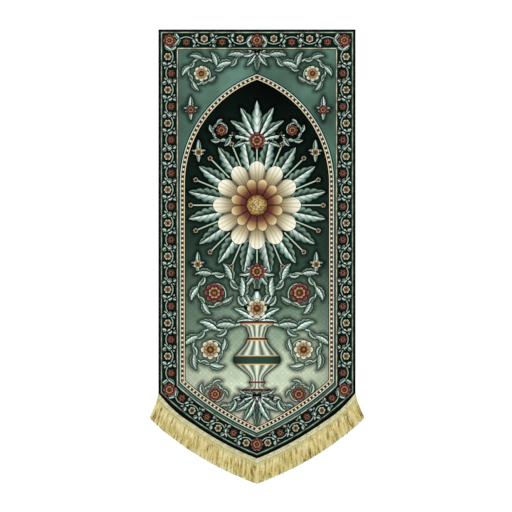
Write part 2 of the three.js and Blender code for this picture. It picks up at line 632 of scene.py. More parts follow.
@dataclass(frozen=True)
class Sprig:
    """A small blossom on six leaves, which fills a gap between larger ornaments."""

    root: Pair
    heading: float
    size: float = 34.0
    petals: Petals = Petals.CREAM

    def draw(self, fields: PrintFields) -> None:
        """Draws three leaves each way, then the blossom.

        Args:
            fields: The print.
        """
        for way, share in ((0.0, 1.0), (math.pi, 0.8)):
            fan = Palmette(self.root, self.heading + way, self.size * share, 3, 0.95, 0.45, 0.22)
            fan.draw(fields)
        fields.add_bloom(self.root, self.size * 0.32, 6, self.petals)


@dataclass(frozen=True)
class Wreath:
    """A ring of leaves that point outwards."""

    centre: Pair
    inner: float
    outer: float
    count: int
    width: float
    tone: float
    lobes: int = 0
    turn: float = 0.0  # in leaves

    def draw(self, fields: PrintFields) -> None:
        """Draws the leaves of the right half, which the cloth shows on both sides.

        Args:
            fields: The print.
        """
        for number in range(self.count):
            angle = 2 * math.pi * (number + self.turn) / self.count
            way = np.array([math.cos(angle), math.sin(angle)])
            if way[0] * self.outer < -REACH:
                continue
            root = np.array(self.centre) + way * self.inner
            rib = spine(root, angle, self.outer - self.inner, 0.0)
            fields.add_leaf(rib, self.width, self.tone + 0.2 * (number % 2), self.lobes)


@dataclass(frozen=True)
class Spray:
    """A ring of budded stems that point outwards."""

    centre: Pair
    inner: float
    outer: float
    count: int
    bud: float = 6.4
    stem: float = 2.3

    def draw(self, fields: PrintFields) -> None:
        """Draws the stems of the right half, each with its bud.

        Args:
            fields: The print.
        """
        for number in range(self.count):
            angle = 2 * math.pi * number / self.count
            way = np.array([math.cos(angle), math.sin(angle)])
            if way[0] * self.outer < -REACH:
                continue
            middle = np.array(self.centre)
            line = np.stack([middle + way * self.inner, middle + way * self.outer])
            fields.add_stem(line, self.stem, 1.0)
            bud = middle + way * self.outer
            fields.add_bloom((float(bud[0]), float(bud[1])), self.bud, 5, Petals.CREAM)


@dataclass(frozen=True)
class Vase:
    """A footed vase with a fluted body, from its rim down to its foot."""

    rim: float = -740.0
    foot: float = -916.0
    shares: tuple[float, ...] = (0.0, 0.05, 0.09, 0.22, 0.27, 0.56, 0.84, 0.88, 0.93, 1.0)
    halves: tuple[float, ...] = (42.0, 42.0, 27.0, 20.0, 26.0, 60.0, 15.0, 20.0, 14.0, 40.0)

    def draw(self, fields: PrintFields) -> None:
        """Draws the vase on the middle line.

        Args:
            fields: The print.
        """
        x, z = fields.sheet.x, fields.sheet.z
        share = np.clip((self.rim - z) / (self.rim - self.foot), 0, 1)
        shares, halves = np.array(self.shares), np.array(self.halves)
        at = np.clip(np.searchsorted(shares, share, side="right") - 1, 0, len(shares) - 2)
        step = (share - shares[at]) / (shares[at + 1] - shares[at])
        half = halves[at] + (halves[at + 1] - halves[at]) * smoothstep(step, 0, 1)
        inside = np.minimum(half - x, np.minimum(self.rim - z, z - self.foot))
        fields.vase = inside.clip(FAR_OUTSIDE)
        fields.flute = np.clip(x / half, 0, 2)
        fields.fall = share


Motif = Scroll | Palmette | Sprig | Wreath | Spray | Vase


@dataclass(frozen=True)
class RunningBorder:
    """A vine that runs round the cloth in a band, with a rosette at each turn."""

    cut: PointedCut
    near_edge: float = 9.0
    far_edge: float = 47.0
    pitch: float = 84.0
    swing: float = 9.0
    stem: float = 1.7
    rosette: float = 16.5
    clear: float = 20.0  # between a rosette's middle and the vine
    margin: float = 1.2  # between the vine's leaves and the band's edges
    turn: float = 12.0  # how far before a corner of the cloth the vine's run ends
    bloom: float = 9.6
    bloom_rise: float = 4.2
    leaf: float = 5.9  # half a leaf's width
    leaf_rise: float = 5.0
    leaf_share: float = 0.19  # its root's distance from its blossom, in pitches
    tip_share: float = 1.21  # the lowest rosette's height above the tip, in middles of the band

    def draw(self, fields: PrintFields) -> None:
        """Draws the vine along the top edge, the side and the hem, then the rosettes.

        Args:
            fields: The print.
        """
        middle = (self.near_edge + self.far_edge) / 2
        x, z = fields.sheet.x, fields.sheet.z
        inside = np.stack(self.cut.distances(x, z))
        nearest = inside.argmin(0)
        band = inside.min(0) < self.far_edge + 3
        room = (self.far_edge - self.near_edge) / 2 - self.margin
        room = room - np.abs(inside.min(0) - middle)
        out_angle = math.atan2(self.cut.outward[1], self.cut.outward[0]) - self.cut.half_arc
        hem_angle = np.arctan2(z - self.cut.centre[1], x - self.cut.centre[0])
        lower_turn = self.cut.side_length - self.turn
        runs = (
            (x, self.cut.half_width - middle),
            (-z - middle, lower_turn - middle),
            ((hem_angle - out_angle) * self.cut.radius, self.cut.hem_length() - self.turn),
        )
        for number, (run, length) in enumerate(runs):
            kept = np.nonzero(band & (nearest == number))[0]
            across = inside[number][kept] - middle
            self.vine(fields, Sheet(run[kept], across, kept, room[kept]), length)
        side = self.cut.half_width - middle
        tip = self.tip_share * middle - self.cut.point_length
        for centre in ((side, -middle), (side, -lower_turn - 2), (0.0, tip), (0.0, -middle)):
            fields.add_bloom(centre, self.rosette, 8, Petals.MAROON)

    def vine(self, fields: PrintFields, sheet: Sheet, length: float) -> None:
        """Draws one straight run of the vine.

        Args:
            fields: The print.
            sheet: The band's points, by their run along it and their offset across it.
            length: The run between two rosettes.
        """
        count = max(1, round((length - 2 * self.clear) / self.pitch))
        pitch = (length - 2 * self.clear) / count
        wave = np.linspace(0, 1, 33)
        for unit in range(count):
            begin = self.clear + unit * pitch
            line = np.stack([begin + wave * pitch, self.swing * np.sin(2 * np.pi * wave)], 1)
            fields.add_stem(line, self.stem, 1.0, sheet)
            for flip, kind in enumerate(Petals):
                up = 1 - 2 * flip
                middle = begin + pitch * (0.25 + 0.5 * flip)
                fields.add_bloom((middle, -self.bloom_rise * up), self.bloom, 6, kind, sheet)
                for hand in (-1, 1):
                    start = (middle + hand * pitch * self.leaf_share, self.leaf_rise * up)
                    rib = spine(start, up * (math.pi / 2 - hand * 1.0), 23, up * hand * 1.1)
                    fields.add_leaf(rib, self.leaf, 0.35 + 0.3 * flip, 3, 0.15 * hand, sheet)
                    rib = spine(start, -up * (math.pi / 2 - hand * 0.35), 26, up * hand * 0.8)
                    fields.add_leaf(rib, self.leaf, 0.75 - 0.3 * flip, 3, 0.15 * hand, sheet)


@dataclass(frozen=True)
class PrintedDesign:
    """The whole print: a border, a pointed arch, and ornament inside and above it."""

    cut: PointedCut = field(default_factory=PointedCut)
    arch_half: float = 182.0
    arch_offset: float = 100.0  # how far beyond the middle line each arc of the arch is centred
    springing: float = -392.0
    base_margin: float = 72.0
    border_clear: float = 52.5  # from the cloth's edge to the ornament above the arch
    frame_clear: float = 18.5  # from the arch's outline to it
    inner_clear: float = 1.5  # from that outline to the ornament within
    rosette_height: float = -446.0
    rosette: float = 112.0
    finials: tuple[float, ...] = (164.0, -168.0)  # above the rosette's middle
    finial: float = 21.0
    crown_height: float = -708.0  # of the blossom over the vase
    crown: float = 25.0

    def frame_line(self, x: Array, z: Array) -> tuple[Array, Array]:
        """Measures points against the arch's outline, which the lower hem's line closes.

        Args:
            x: Their places across.
            z: Their heights.

        Returns:
            The distance inside the outline, and the run along it.
        """
        radius = self.arch_half + self.arch_offset
        above = np.maximum(z - self.springing, 0)
        aside = np.abs(x) + self.arch_offset
        arch = radius - np.hypot(aside, above)
        base = self.cut.distances(x, z)[2] - self.base_margin
        run = np.where(above > 0, np.arctan2(above, aside) * radius, z - self.springing)
        hem = np.arctan2(z - self.cut.centre[1], np.abs(x) - self.cut.centre[0]) * self.cut.radius
        return np.minimum(arch, base), np.where(base < arch, hem, run)

    def spandrels(self) -> list[Motif]:
        """The ornament above the arch.

        Returns:
            The motifs, in the order in which they are drawn.
        """
        up, down = math.pi / 2, -math.pi / 2
        return [
            Scroll((16, -62), 0.05, (141, -112), 43, start=2.5, hand=-1, tone=0.3),
            Sprig((168, -204), up, 36, Petals.MAROON),
            Palmette((0, -56), down, 52, count=7, spread=1.5, width=0.2),
        ]

    def motifs(self) -> list[Motif]:
        """The ornament within the arch.

        Returns:
            The motifs, in the order in which they are drawn.
        """
        up, down = math.pi / 2, -math.pi / 2
        high = self.rosette_height
        middle, upper, lower = (0.0, high), (0, high + 158), (0, high - 162)
        red = Petals.MAROON
        return [
            Scroll((10, high + 158), 0.5, (90, high + 190), 30, -2.6, 1, 0.5, red, turns=1.1),
            Scroll((6, -742), 0.9, (108, -668), 54, start=2.3, hand=-1, petals=red),
            Scroll((34, -748), 0.1, (118, -812), 54, start=1.9, hand=-1),
            Scroll((14, -914), -0.5, (106, -925), 38, start=-1.9, hand=1, tone=0.4, petals=red),
            Palmette((0, -926), down, 84, width=0.17),
            Wreath(middle, inner=88, outer=178, count=16, width=20.5, tone=0.3, lobes=5, turn=0.5),
            Spray(middle, inner=100, outer=168, count=16),
            Palmette(upper, up, 108, spread=1.35, tone=0.35, width=0.17),
            Palmette(lower, down, 66, count=7, spread=1.5, tone=0.35, width=0.19),
            Palmette((0, -742), up, 92, count=7, spread=1.15, tone=0.6, width=0.19),
            Sprig((148, high + 134), up),
            Sprig((150, high - 150), up),
            Vase(),
        ]

    def draw(self, x: Array, z: Array) -> dict[str, Array]:
        """Works the print out at points of the cloth.

        Args:
            x: Their places across.
            z: Their heights.

        Returns:
            The named vectors that the printed finish reads.
        """
        fields = PrintFields(x, z)
        edge = np.stack(self.cut.distances(x, z)).min(0)
        arch, run = self.frame_line(x, z)
        RunningBorder(self.cut).draw(fields)
        fields.sheet.limit = np.minimum(edge - self.border_clear, -self.frame_clear - arch)
        for motif in self.spandrels():
            motif.draw(fields)
        fields.sheet.limit = arch - self.inner_clear
        for motif in self.motifs():
            motif.draw(fields)
        fields.add_bloom((0.0, self.rosette_height), self.rosette, 12, Petals.CREAM)
        for height in self.finials:
            centre = (0.0, self.rosette_height + height)
            fields.add_bloom(centre, self.finial, 8, Petals.MAROON)
        fields.add_bloom((0.0, self.crown_height), self.crown, 8, Petals.CREAM)
        none = np.zeros_like(x)
        return {
            "print_frame": np.stack([edge, arch, run], 1),
            "print_leaf": np.stack([fields.parted_leaves(), fields.across, fields.down], 1),
            "print_bloom": np.stack([fields.bloom, fields.inner, fields.heart], 1),
            "print_petal": np.stack([fields.petal, fields.ratio, fields.hue], 1),
            "print_stem": np.stack([fields.stem, fields.offset, fields.half], 1),
            "print_tone": np.stack([fields.tone, none, none], 1),
            "print_vase": np.stack([fields.vase, fields.flute, fields.fall], 1),
        }


@dataclass(frozen=True)
class Band:
    """One stripe of a ramp that runs across a border: where it starts, its ink, its cover."""

    start: float
    colour: str
    cover: float = 1.0


def band_stops(bands: Sequence[Band], low: float, high: float, soft: float = 0.5) -> list[tuple]:
    """Turns stripes into a ramp's stops.

    Args:
        bands: The stripes, in order.
        low: The distance at the ramp's start.
        high: The distance at its end.
        soft: The width over which one stripe passes into the next.

    Returns:
        Each stop's place, colour and alpha.
    """
    ends = [band.start for band in bands[1:]] + [high]
    places = []
    for band, end in zip(bands, ends):
        for place in (band.start + soft / 2, end - soft / 2):
            places.append(((place - low) / (high - low), band.colour, band.cover))
    return places


@dataclass(frozen=True)
class PrintedVelvet:
    """Polyester velvet printed on its pile: deep matt inks with soft edges and a faint sheen.

    Its sizes are millimetres. Its ranges of tone are factors on the printed colour.
    """

    tree: Tree
    place: Socket  # the Object coordinates
    parts: Parts  # the design's numbers

    ink: str = "#020504"
    ink_edge: Pair = (-1.0, -0.3)  # where a shape's dark outline comes in
    body_edge: Pair = (0.2, 1.1)  # where its colour takes over from the outline
    edge_fray: float = 0.7  # how far the pile makes a printed edge uneven
    pile_grain: float = 1.1  # a tuft is finer, and is drawn as coarse as it needs to show
    pile_height: float = 0.4
    # The nap patches are painted sheen, lighter and darker where the pile is brushed.
    nap_patch: float = 55.0  # brushed patches of the pile, in millimetres
    smoke_patch: float = 170.0
    smoke_shift: float = 0.34  # how far the smoke moves the ground's fade
    fade: Pair = (-120.0, -1020.0)  # the heights between which the ground pales
    rim: float = 60.0  # how far inside the arch the ground is still a little darker
    halo: float = 12.0  # how far round a shape the ground is darker
    lattice: float = 26.0
    lattice_tone: float = 1.2
    lattice_line: float = 0.05  # half a line's width, as a share of the lattice
    lattice_dot: float = 0.13  # a dot's radius, likewise
    border_span: float = 60.0
    frame_start: float = -18.0
    frame_end: float = 3.0
    bead_pitch: float = 12.0
    bead_line: float = 6.9  # how far outside the arch's outline the beads lie
    bead_edge: Pair = (3.1, 2.5)  # the radii between which a bead comes in
    flutes: float = 12.0
    flute_soft: float = 0.006
    seed_pitch: float = 4.6
    heart_span: float = 16.0
    vein_slant: float = -1.2
    outer_veins: float = 5.0
    stem_slack: float = 1.0  # how far a stem's even edge may lie outside its coarser one
    roughness: float = 0.88  # cut pile scatters nearly all light
    ior: float = 1.55  # polyester
    gloss: float = 0.02
    sheen: float = 0.015

    outer_ground: Stops = ((0.3, "#34473d"), (0.5, "#486457"), (0.68, "#5e8072"))
    inner_ground: Stops = (
        (0.0, "#020504"), (0.33, "#14241d"), (0.52, "#31483d"), (0.7, "#748c78"), (0.86, "#b9c6ac"),
        (1.0, "#dde1ca"),
    )
    leaf_halves: Stops = (
        (0.0, "#101c16"), (0.12, "#56776a"), (0.3, "#a8c2b4"), (0.44, "#dff0e6"), (0.49, "#f6faf4"),
        (0.52, "#0c1611"), (0.66, "#2b463a"), (0.88, "#86a592"), (1.0, "#0c1611"),
    )
    flute_stops: Stops = ((0.0, "#55675b"), (0.45, "#a3b09b"), (1.0, "#e3e6d2"))
    cream: Stops = ((0.5, "#6e5a3e"), (0.68, "#b3a684"), (0.84, "#dfdcc2"), (1.0, "#f1f0de"))
    maroon: Stops = ((0.45, "#2a0f12"), (0.75, "#6b3032"), (1.0, "#a0685c"))
    inner_ring: Stops = ((0.22, "#3a1a1a"), (0.36, "#6e3f34"), (0.48, "#a98a5e"), (0.6, "#e2d6ae"))
    heart_stops: Stops = ((0.0, "#6b4a28"), (0.3, "#a67f45"), (1.0, "#cdb27a"))

    # The outermost dark stripe is print; along the hem it is also painted shadow of the fringe's
    # heading on the cloth.
    border: tuple[Band, ...] = (
        Band(0.0, "#060a08"), Band(4.2, "#1d332a"), Band(7.0, "#b7c4ab"), Band(9.0, "#030706"),
        Band(10.4, "#102d23"), Band(45.2, "#030706"), Band(47.0, "#cfd0b8"), Band(49.6, "#030706"),
        Band(51.2, "#030706", 0.0),
    )
    frame: tuple[Band, ...] = (
        Band(-18.0, "#030706", 0.0), Band(-16.0, "#030706"), Band(-13.2, "#b9d3c4"),
        Band(-10.7, "#45191d"), Band(-3.2, "#dcd8b8"), Band(-1.2, "#030706"),
        Band(1.0, "#030706", 0.0),
    )

    vase_bands: tuple[Band, ...] = (
        Band(-0.02, "#5a2f30"), Band(0.03, "#d3b878"), Band(0.05, "#dfe3cf", 0.0),
        Band(0.225, "#d3b878"), Band(0.24, "#5a2f30"), Band(0.27, "#d3b878"),
        Band(0.285, "#dfe3cf", 0.0), Band(0.49, "#d3b878"), Band(0.505, "#2b4438"),
        Band(0.615, "#d3b878"), Band(0.63, "#dfe3cf", 0.0), Band(0.865, "#5a2f30"),
        Band(0.895, "#dfe3cf", 0.0), Band(0.97, "#5a2f30"),
    )

    @classmethod
    def material(cls) -> Material:
        """Builds the printed finish.

        Returns:
            The material, which reads the design's attributes and Object coordinates.
        """
        material, tree = bare_material("printed_polyester_velvet")
        parts = {}
        for name in ("frame", "leaf", "bloom", "petal", "stem", "tone", "vase"):
            vector = add_node(tree, "Attribute", attribute_name="print_" + name).outputs["Vector"]
            parts[name] = list(add_node(tree, "SeparateXYZ", {0: vector}).outputs)
        cls(tree, add_node(tree, "TexCoord").outputs["Object"], parts).dress()
        return material

    def add(self, kind: str, inputs: dict, stops: Stops = (), **settings: object) -> Node:
        """Adds a node to the finish's tree, in the way of add_node."""
        return add_node(self.tree, kind, inputs, stops, **settings)

    def dress(self) -> None:
        """Lays the shapes over the ground, each kind above the one before, then adds the pile."""
        parts = self.parts
        parts["stem"][0] = self.straightened().outputs[0]
        grain = self.add("TexNoise", {"Vector": self.place, "Scale": 1 / (self.pile_grain * MM)})
        colour = self.lines(self.ground())
        bodies = (
            (parts["stem"][0], self.stem()),
            (parts["leaf"][0], self.leaf()),
            (parts["vase"][0], self.vase()),
            (parts["bloom"][0], self.outer_petals()),
            (parts["bloom"][1], self.inner_petals()),
            (parts["bloom"][2], self.heart()),
        )
        for inside, body in bodies:
            colour = self.shape(colour, inside, body, grain)
        self.pile(colour, grain)

    def shape(self, below: Node, inside: Socket, body: Node, grain: Node) -> Node:
        """Lays one kind of shape over what is printed so far.

        Args:
            below: The colour so far.
            inside: The shape's inside distance.
            body: The colour within its outline.
            grain: The pile's noise, which makes the printed edge a little uneven.

        Returns:
            The node with the new colour.
        """
        fray = {0: grain, 1: self.edge_fray, 2: -self.edge_fray / 2}
        rough = self.add("Math", fray, operation="MULTIPLY_ADD")
        edge = self.add("Math", {0: inside, 1: rough}, operation="ADD")
        low, high = self.ink_edge
        cover = self.add("MapRange", {0: edge, 1: low, 2: high}, interpolation_type="SMOOTHSTEP")
        low, high = self.body_edge
        line = self.add("MapRange", {0: edge, 1: low, 2: high}, interpolation_type="SMOOTHSTEP")
        inked = self.add("Mix", {0: line, 6: linear(self.ink), 7: body}, data_type="RGBA")
        return self.add("Mix", {0: cover, 6: below, 7: inked}, data_type="RGBA")

    def shade(self, colour: Node, factor: Node) -> Node:
        """Multiplies a colour by a number."""
        parts = {0: 1.0, 6: colour, 7: factor}
        return self.add("Mix", parts, data_type="RGBA", blend_type="MULTIPLY")

    def ground(self) -> Node:
        """The smoky ground, darker above the arch and paler towards the foot inside it.

        Returns:
            The node with the colour.
        """
        edge, arch, _ = self.parts["frame"]
        cells = {"Vector": self.place, "Scale": 1 / (self.smoke_patch * MM), "Detail": 3.0}
        smoke = self.add("TexNoise", cells)
        outer = self.add("ValToRGB", {0: smoke}, self.outer_ground)
        height = self.add("SeparateXYZ", {0: self.place}).outputs[2]
        top, foot = self.fade
        down = self.add("MapRange", {0: height, 1: top * MM, 2: foot * MM})
        shift = {0: smoke, 1: self.smoke_shift, 2: -self.smoke_shift / 2}
        cloud = self.add("Math", shift, operation="MULTIPLY_ADD")
        share = self.add("Math", {0: down, 1: cloud}, operation="ADD")
        inner = self.add("ValToRGB", {0: share}, self.inner_ground)
        rim = self.add("MapRange", {0: arch, 1: 0.0, 2: self.rim, 3: 0.62, 4: 1.0})
        inner = self.trellis(self.shade(inner, rim))
        within = self.add("Math", {0: arch, 1: 0.0}, operation="GREATER_THAN")
        both = self.add("Mix", {0: within, 6: outer, 7: inner}, data_type="RGBA")
        border = self.add("MapRange", {0: edge, 1: 0.0, 2: self.border_span})
        both = self.banded(both, border, band_stops(self.border, 0.0, self.border_span))
        near = self.parts["leaf"][0]
        for other in (self.parts["stem"][0], self.parts["bloom"][0], self.parts["vase"][0]):
            near = self.add("Math", {0: near, 1: other}, operation="MAXIMUM")
        halo = self.add("MapRange", {0: near, 1: -self.halo, 2: 0.0, 3: 1.0, 4: 0.12})
        return self.shade(both, halo)

    def banded(self, below: Node, share: Node | Socket, stops: Stops) -> Node:
        """Lays the stripes of a ramp over what is printed so far.

        Args:
            below: The colour so far.
            share: The place along the ramp.
            stops: The ramp's stops, whose alpha is their cover.

        Returns:
            The node with the new colour.
        """
        stripes = self.add("ValToRGB", {0: share}, stops)
        laid = {0: stripes.outputs["Alpha"], 6: below, 7: stripes}
        return self.add("Mix", laid, data_type="RGBA")

    def trellis(self, below: Node) -> Node:
        """A fine diamond trellis with a dot at each crossing, a tone paler than its ground.

        Args:
            below: The ground's colour.

        Returns:
            The node with the colour.
        """
        per_metre = 1 / (self.lattice * MM)
        turns = self.add("VectorMath", {0: self.place, 1: (per_metre,) * 3}, operation="MULTIPLY")
        part = self.add("VectorMath", {0: turns}, operation="FRACTION")
        offset = self.add("VectorMath", {0: part, 1: (0.5, 0.0, 0.5)}, operation="SUBTRACT")
        away = self.add("VectorMath", {0: offset}, operation="ABSOLUTE")
        flat = self.add("VectorMath", {0: away, 1: (1.0, 0.0, 1.0)}, operation="MULTIPLY")
        both = self.add("VectorMath", {0: flat, 1: (1.0, 0.0, 1.0)}, operation="DOT_PRODUCT")
        test = {0: both.outputs["Value"], 1: 0.5, 2: self.lattice_line}
        line = self.add("Math", test, operation="COMPARE")
        middle = self.add("VectorMath", {0: flat}, operation="LENGTH")
        test = {0: middle.outputs["Value"], 1: self.lattice_dot}
        dot = self.add("Math", test, operation="LESS_THAN")
        mark = self.add("Math", {0: line, 1: dot}, operation="MAXIMUM")
        paler = self.add("MapRange", {0: mark, 3: 1.0, 4: self.lattice_tone})
        return self.shade(below, paler)

    def lines(self, below: Node) -> Node:
        """The striped and beaded frame along the arch.

        Args:
            below: The colour so far.

        Returns:
            The node with the colour.
        """
        _, arch, run = self.parts["frame"]
        low, high = self.frame_start, self.frame_end
        share = self.add("MapRange", {0: arch, 1: low, 2: high})
        framed = self.banded(below, share, band_stops(self.frame, low, high))
        beside = self.add("Math", {0: run, 1: self.bead_pitch / 2}, operation="PINGPONG")
        above = self.add("Math", {0: arch, 1: self.bead_line}, operation="ADD")
        offset = self.add("CombineXYZ", {0: beside, 1: above})
        away = self.add("VectorMath", {0: offset}, operation="LENGTH").outputs["Value"]
        low, high = self.bead_edge
        bead = self.add("MapRange", {0: away, 1: low, 2: high}, interpolation_type="SMOOTHSTEP")
        body = self.add("ValToRGB", {0: away}, [(0.0, "#f2eed6"), (1.0, "#d8cfa6")])
        return self.add("Mix", {0: bead, 6: framed, 7: body}, data_type="RGBA")

    def straightened(self) -> Node:
        """Keeps the stems' edges even between the cloth's points, by their offset.

        Returns:
            The node with the stems' inside distance.
        """
        inside, offset, half = self.parts["stem"]
        aside = self.add("Math", {0: offset}, operation="ABSOLUTE")
        exact = self.add("Math", {0: half, 1: aside}, operation="SUBTRACT")
        near = self.add("Math", {0: inside, 1: self.stem_slack}, operation="ADD")
        return self.add("Math", {0: exact, 1: near}, operation="MINIMUM")

    def stem(self) -> Node:
        """A stem's colour, lit along its middle."""
        share = self.add("MapRange", {0: self.parts["stem"][0], 1: 0.3, 2: 1.8})
        return self.add("ValToRGB", {0: share}, [(0.0, "#5f7f6b"), (1.0, "#b9cdb6")])

    def leaf(self) -> Node:
        """A leaf's colour: one half lit and one in shade, with a midrib and slanting veins.

        Returns:
            The node with the colour.
        """
        _, across, down = self.parts["leaf"]
        share = self.add("MapRange", {0: across, 1: -1.0, 2: 1.0})
        body = self.add("ValToRGB", {0: share}, self.leaf_halves)
        aside = self.add("Math", {0: across}, operation="ABSOLUTE")
        slant = {0: aside, 1: self.vein_slant, 2: down}
        phase = self.add("Math", slant, operation="MULTIPLY_ADD")
        turn = self.add("Math", {0: phase, 1: math.pi}, operation="MULTIPLY")
        wave = self.add("Math", {0: turn}, operation="SINE")
        vein = self.add("Math", {0: wave}, operation="ABSOLUTE")
        dark = self.add("MapRange", {0: vein, 1: 0.05, 2: 0.6, 3: 0.42, 4: 1.0})
        tone = self.add("MapRange", {0: self.parts["tone"][0], 1: 0.0, 2: 1.0, 3: 0.64, 4: 1.24})
        both = self.add("Math", {0: dark, 1: tone}, operation="MULTIPLY")
        return self.shade(body, both)

    def vase(self) -> Node:
        """The vase's colour: pale flutes that close up and darken towards its sides.

        Returns:
            The node with the colour.
        """
        _, flute, fall = self.parts["vase"]
        turn = self.add("Math", {0: flute}, operation="ARCSINE")
        many = self.add("Math", {0: turn, 1: self.flutes}, operation="MULTIPLY")
        wave = self.add("Math", {0: many}, operation="COSINE")
        share = self.add("MapRange", {0: wave, 1: -1.0, 2: 1.0})
        body = self.add("ValToRGB", {0: share}, self.flute_stops)
        body = self.banded(body, fall, band_stops(self.vase_bands, 0, 1, self.flute_soft))
        side = self.add("Math", {0: flute, 1: 3.0}, operation="POWER")
        dark = self.add("MapRange", {0: side, 1: 0.0, 2: 1.0, 3: 1.0, 4: 0.3})
        return self.shade(body, dark)

    def petal_veins(self, petal: Socket, count: float) -> Node:
        """A factor that draws fine lines along each petal.

        Args:
            petal: The place across a petal, from -1 to 1.
            count: How many lines each petal has.

        Returns:
            The node with the factor.
        """
        turn = self.add("Math", {0: petal}, operation="ARCCOSINE")
        many = self.add("Math", {0: turn, 1: count}, operation="MULTIPLY")
        wave = self.add("Math", {0: many}, operation="COSINE")
        return self.add("MapRange", {0: wave, 1: -1.0, 2: -0.3, 3: 0.72, 4: 1.0})

    def outer_petals(self) -> Node:
        """The outer ring's colour, cream or maroon, dark where two petals meet.

        Returns:
            The node with the colour.
        """
        petal, ratio, hue = self.parts["petal"]
        pale = self.add("ValToRGB", {0: ratio}, self.cream)
        deep = self.add("ValToRGB", {0: ratio}, self.maroon)
        body = self.add("Mix", {0: hue, 6: pale, 7: deep}, data_type="RGBA")
        valley = self.add("MapRange", {0: petal, 1: -0.96, 2: -0.55, 3: 0.25, 4: 1.0})
        veined = self.shade(body, self.petal_veins(petal, self.outer_veins))
        return self.shade(veined, valley)

    def inner_petals(self) -> Node:
        """The inner ring's colour, from a maroon root to a pale gold tip.

        Returns:
            The node with the colour.
        """
        petal, ratio, _ = self.parts["petal"]
        body = self.add("ValToRGB", {0: ratio}, self.inner_ring)
        valley = self.add("MapRange", {0: petal, 1: 0.96, 2: 0.55, 3: 0.3, 4: 1.0})
        return self.shade(body, valley)

    def heart(self) -> Node:
        """The heart's colour: packed seeds, darker at its rim.

        Returns:
            The node with the colour.
        """
        share = self.add("MapRange", {0: self.parts["bloom"][2], 1: 0.0, 2: self.heart_span})
        body = self.add("ValToRGB", {0: share}, self.heart_stops)
        seeds = self.add("TexVoronoi", {"Vector": self.place, "Scale": 1 / (self.seed_pitch * MM)})
        gap = self.add("MapRange", {0: seeds, 1: 0.2, 2: 0.7, 3: 1.15, 4: 0.35})
        return self.shade(body, gap)

    def pile(self, colour: Node, grain: Node) -> None:
        """Gives the printed colour its pile: nap patches of painted sheen, tufts with painted shade
        between them, roughness and sheen.

        Args:
            colour: The printed colour.
            grain: The pile's noise.
        """
        nap = self.add("TexNoise", {"Vector": self.place, "Scale": 1 / (self.nap_patch * MM)})
        # Painted sheen on the brushed patches, and painted shade between the tufts, lighter where
        # the pile stands higher.
        nap_sheen = self.add("MapRange", {0: nap, 1: 0.3, 2: 0.7, 3: 0.93, 4: 1.05})
        tuft_shade = self.add("MapRange", {0: grain, 1: 0.3, 2: 0.7, 3: 0.88, 4: 1.08})
        both = self.add("Math", {0: nap_sheen, 1: tuft_shade}, operation="MULTIPLY")
        relief = {"Height": grain, "Strength": 0.35, "Distance": self.pile_height * MM}
        surface = {
            "Base Color": self.shade(colour, both),
            "Roughness": self.roughness,
            "IOR": self.ior,
            "Specular IOR Level": self.gloss,
            "Sheen Weight": self.sheen,
            "Sheen Roughness": 0.4,
            "Sheen Tint": linear("#cfe6d8"),
            "Normal": self.add("Bump", relief),
        }
        shader = self.add("BsdfPrincipled", surface)
        self.add("OutputMaterial", {"Surface": shader})


@dataclass(frozen=True)
class KnittedBack:
    """The velvet's warp-knitted ground, seen from behind: pale, with fine upright wales."""

    wale: float = 1.7  # the real wales are finer, and are drawn as coarse as they need to show
    course: float = 0.8  # a course's height, as a share of a wale
    course_depth: float = 0.45  # how deep the courses are beside the wales
    mottle: float = 14.0  # where the pile's ink has struck through a little
    loop_height: float = 0.3
    roughness: float = 0.9
    gloss: float = 0.2
    stops: Stops = ((0.3, "#a2a59d"), (0.5, "#a8aba2"), (0.7, "#adb0a7"))

    def material(self) -> Material:
        """Builds the finish of the cloth's back.

        Returns:
            The material, which reads Object coordinates.
        """
        material, tree = bare_material("knitted_velvet_ground")
        place = add_node(tree, "TexCoord").outputs["Object"]
        axes = add_node(tree, "SeparateXYZ", {0: place}).outputs
        waves = []
        for axis, pitch in ((axes[0], self.wale), (axes[2], self.course * self.wale)):
            turn = {0: axis, 1: math.tau / (pitch * MM)}
            phase = add_node(tree, "Math", turn, operation="MULTIPLY")
            waves.append(add_node(tree, "Math", {0: phase}, operation="SINE"))
        wale, course = waves
        both = {0: course, 1: self.course_depth, 2: wale}
        loops = add_node(tree, "Math", both, operation="MULTIPLY_ADD")
        cells = {"Vector": place, "Scale": 1 / (self.mottle * MM), "Detail": 5.0}
        ground = add_node(tree, "ValToRGB", {0: add_node(tree, "TexNoise", cells)}, self.stops)
        # Painted shade between the knitted loops, a little lighter on their crests.
        groove_shading = add_node(tree, "MapRange", {0: loops, 1: -1.4, 2: 1.0, 3: 0.72, 4: 1.04})
        mixed = {0: 1.0, 6: ground, 7: groove_shading}
        colour = add_node(tree, "Mix", mixed, data_type="RGBA", blend_type="MULTIPLY")
        relief = {"Height": loops, "Strength": 0.5, "Distance": self.loop_height * MM}
        surface = {
            "Base Color": colour,
            "Roughness": self.roughness,
            "Specular IOR Level": self.gloss,
            "Normal": add_node(tree, "Bump", relief),
        }
        shader = add_node(tree, "BsdfPrincipled", surface)
        add_node(tree, "OutputMaterial", {"Surface": shader})
        return material


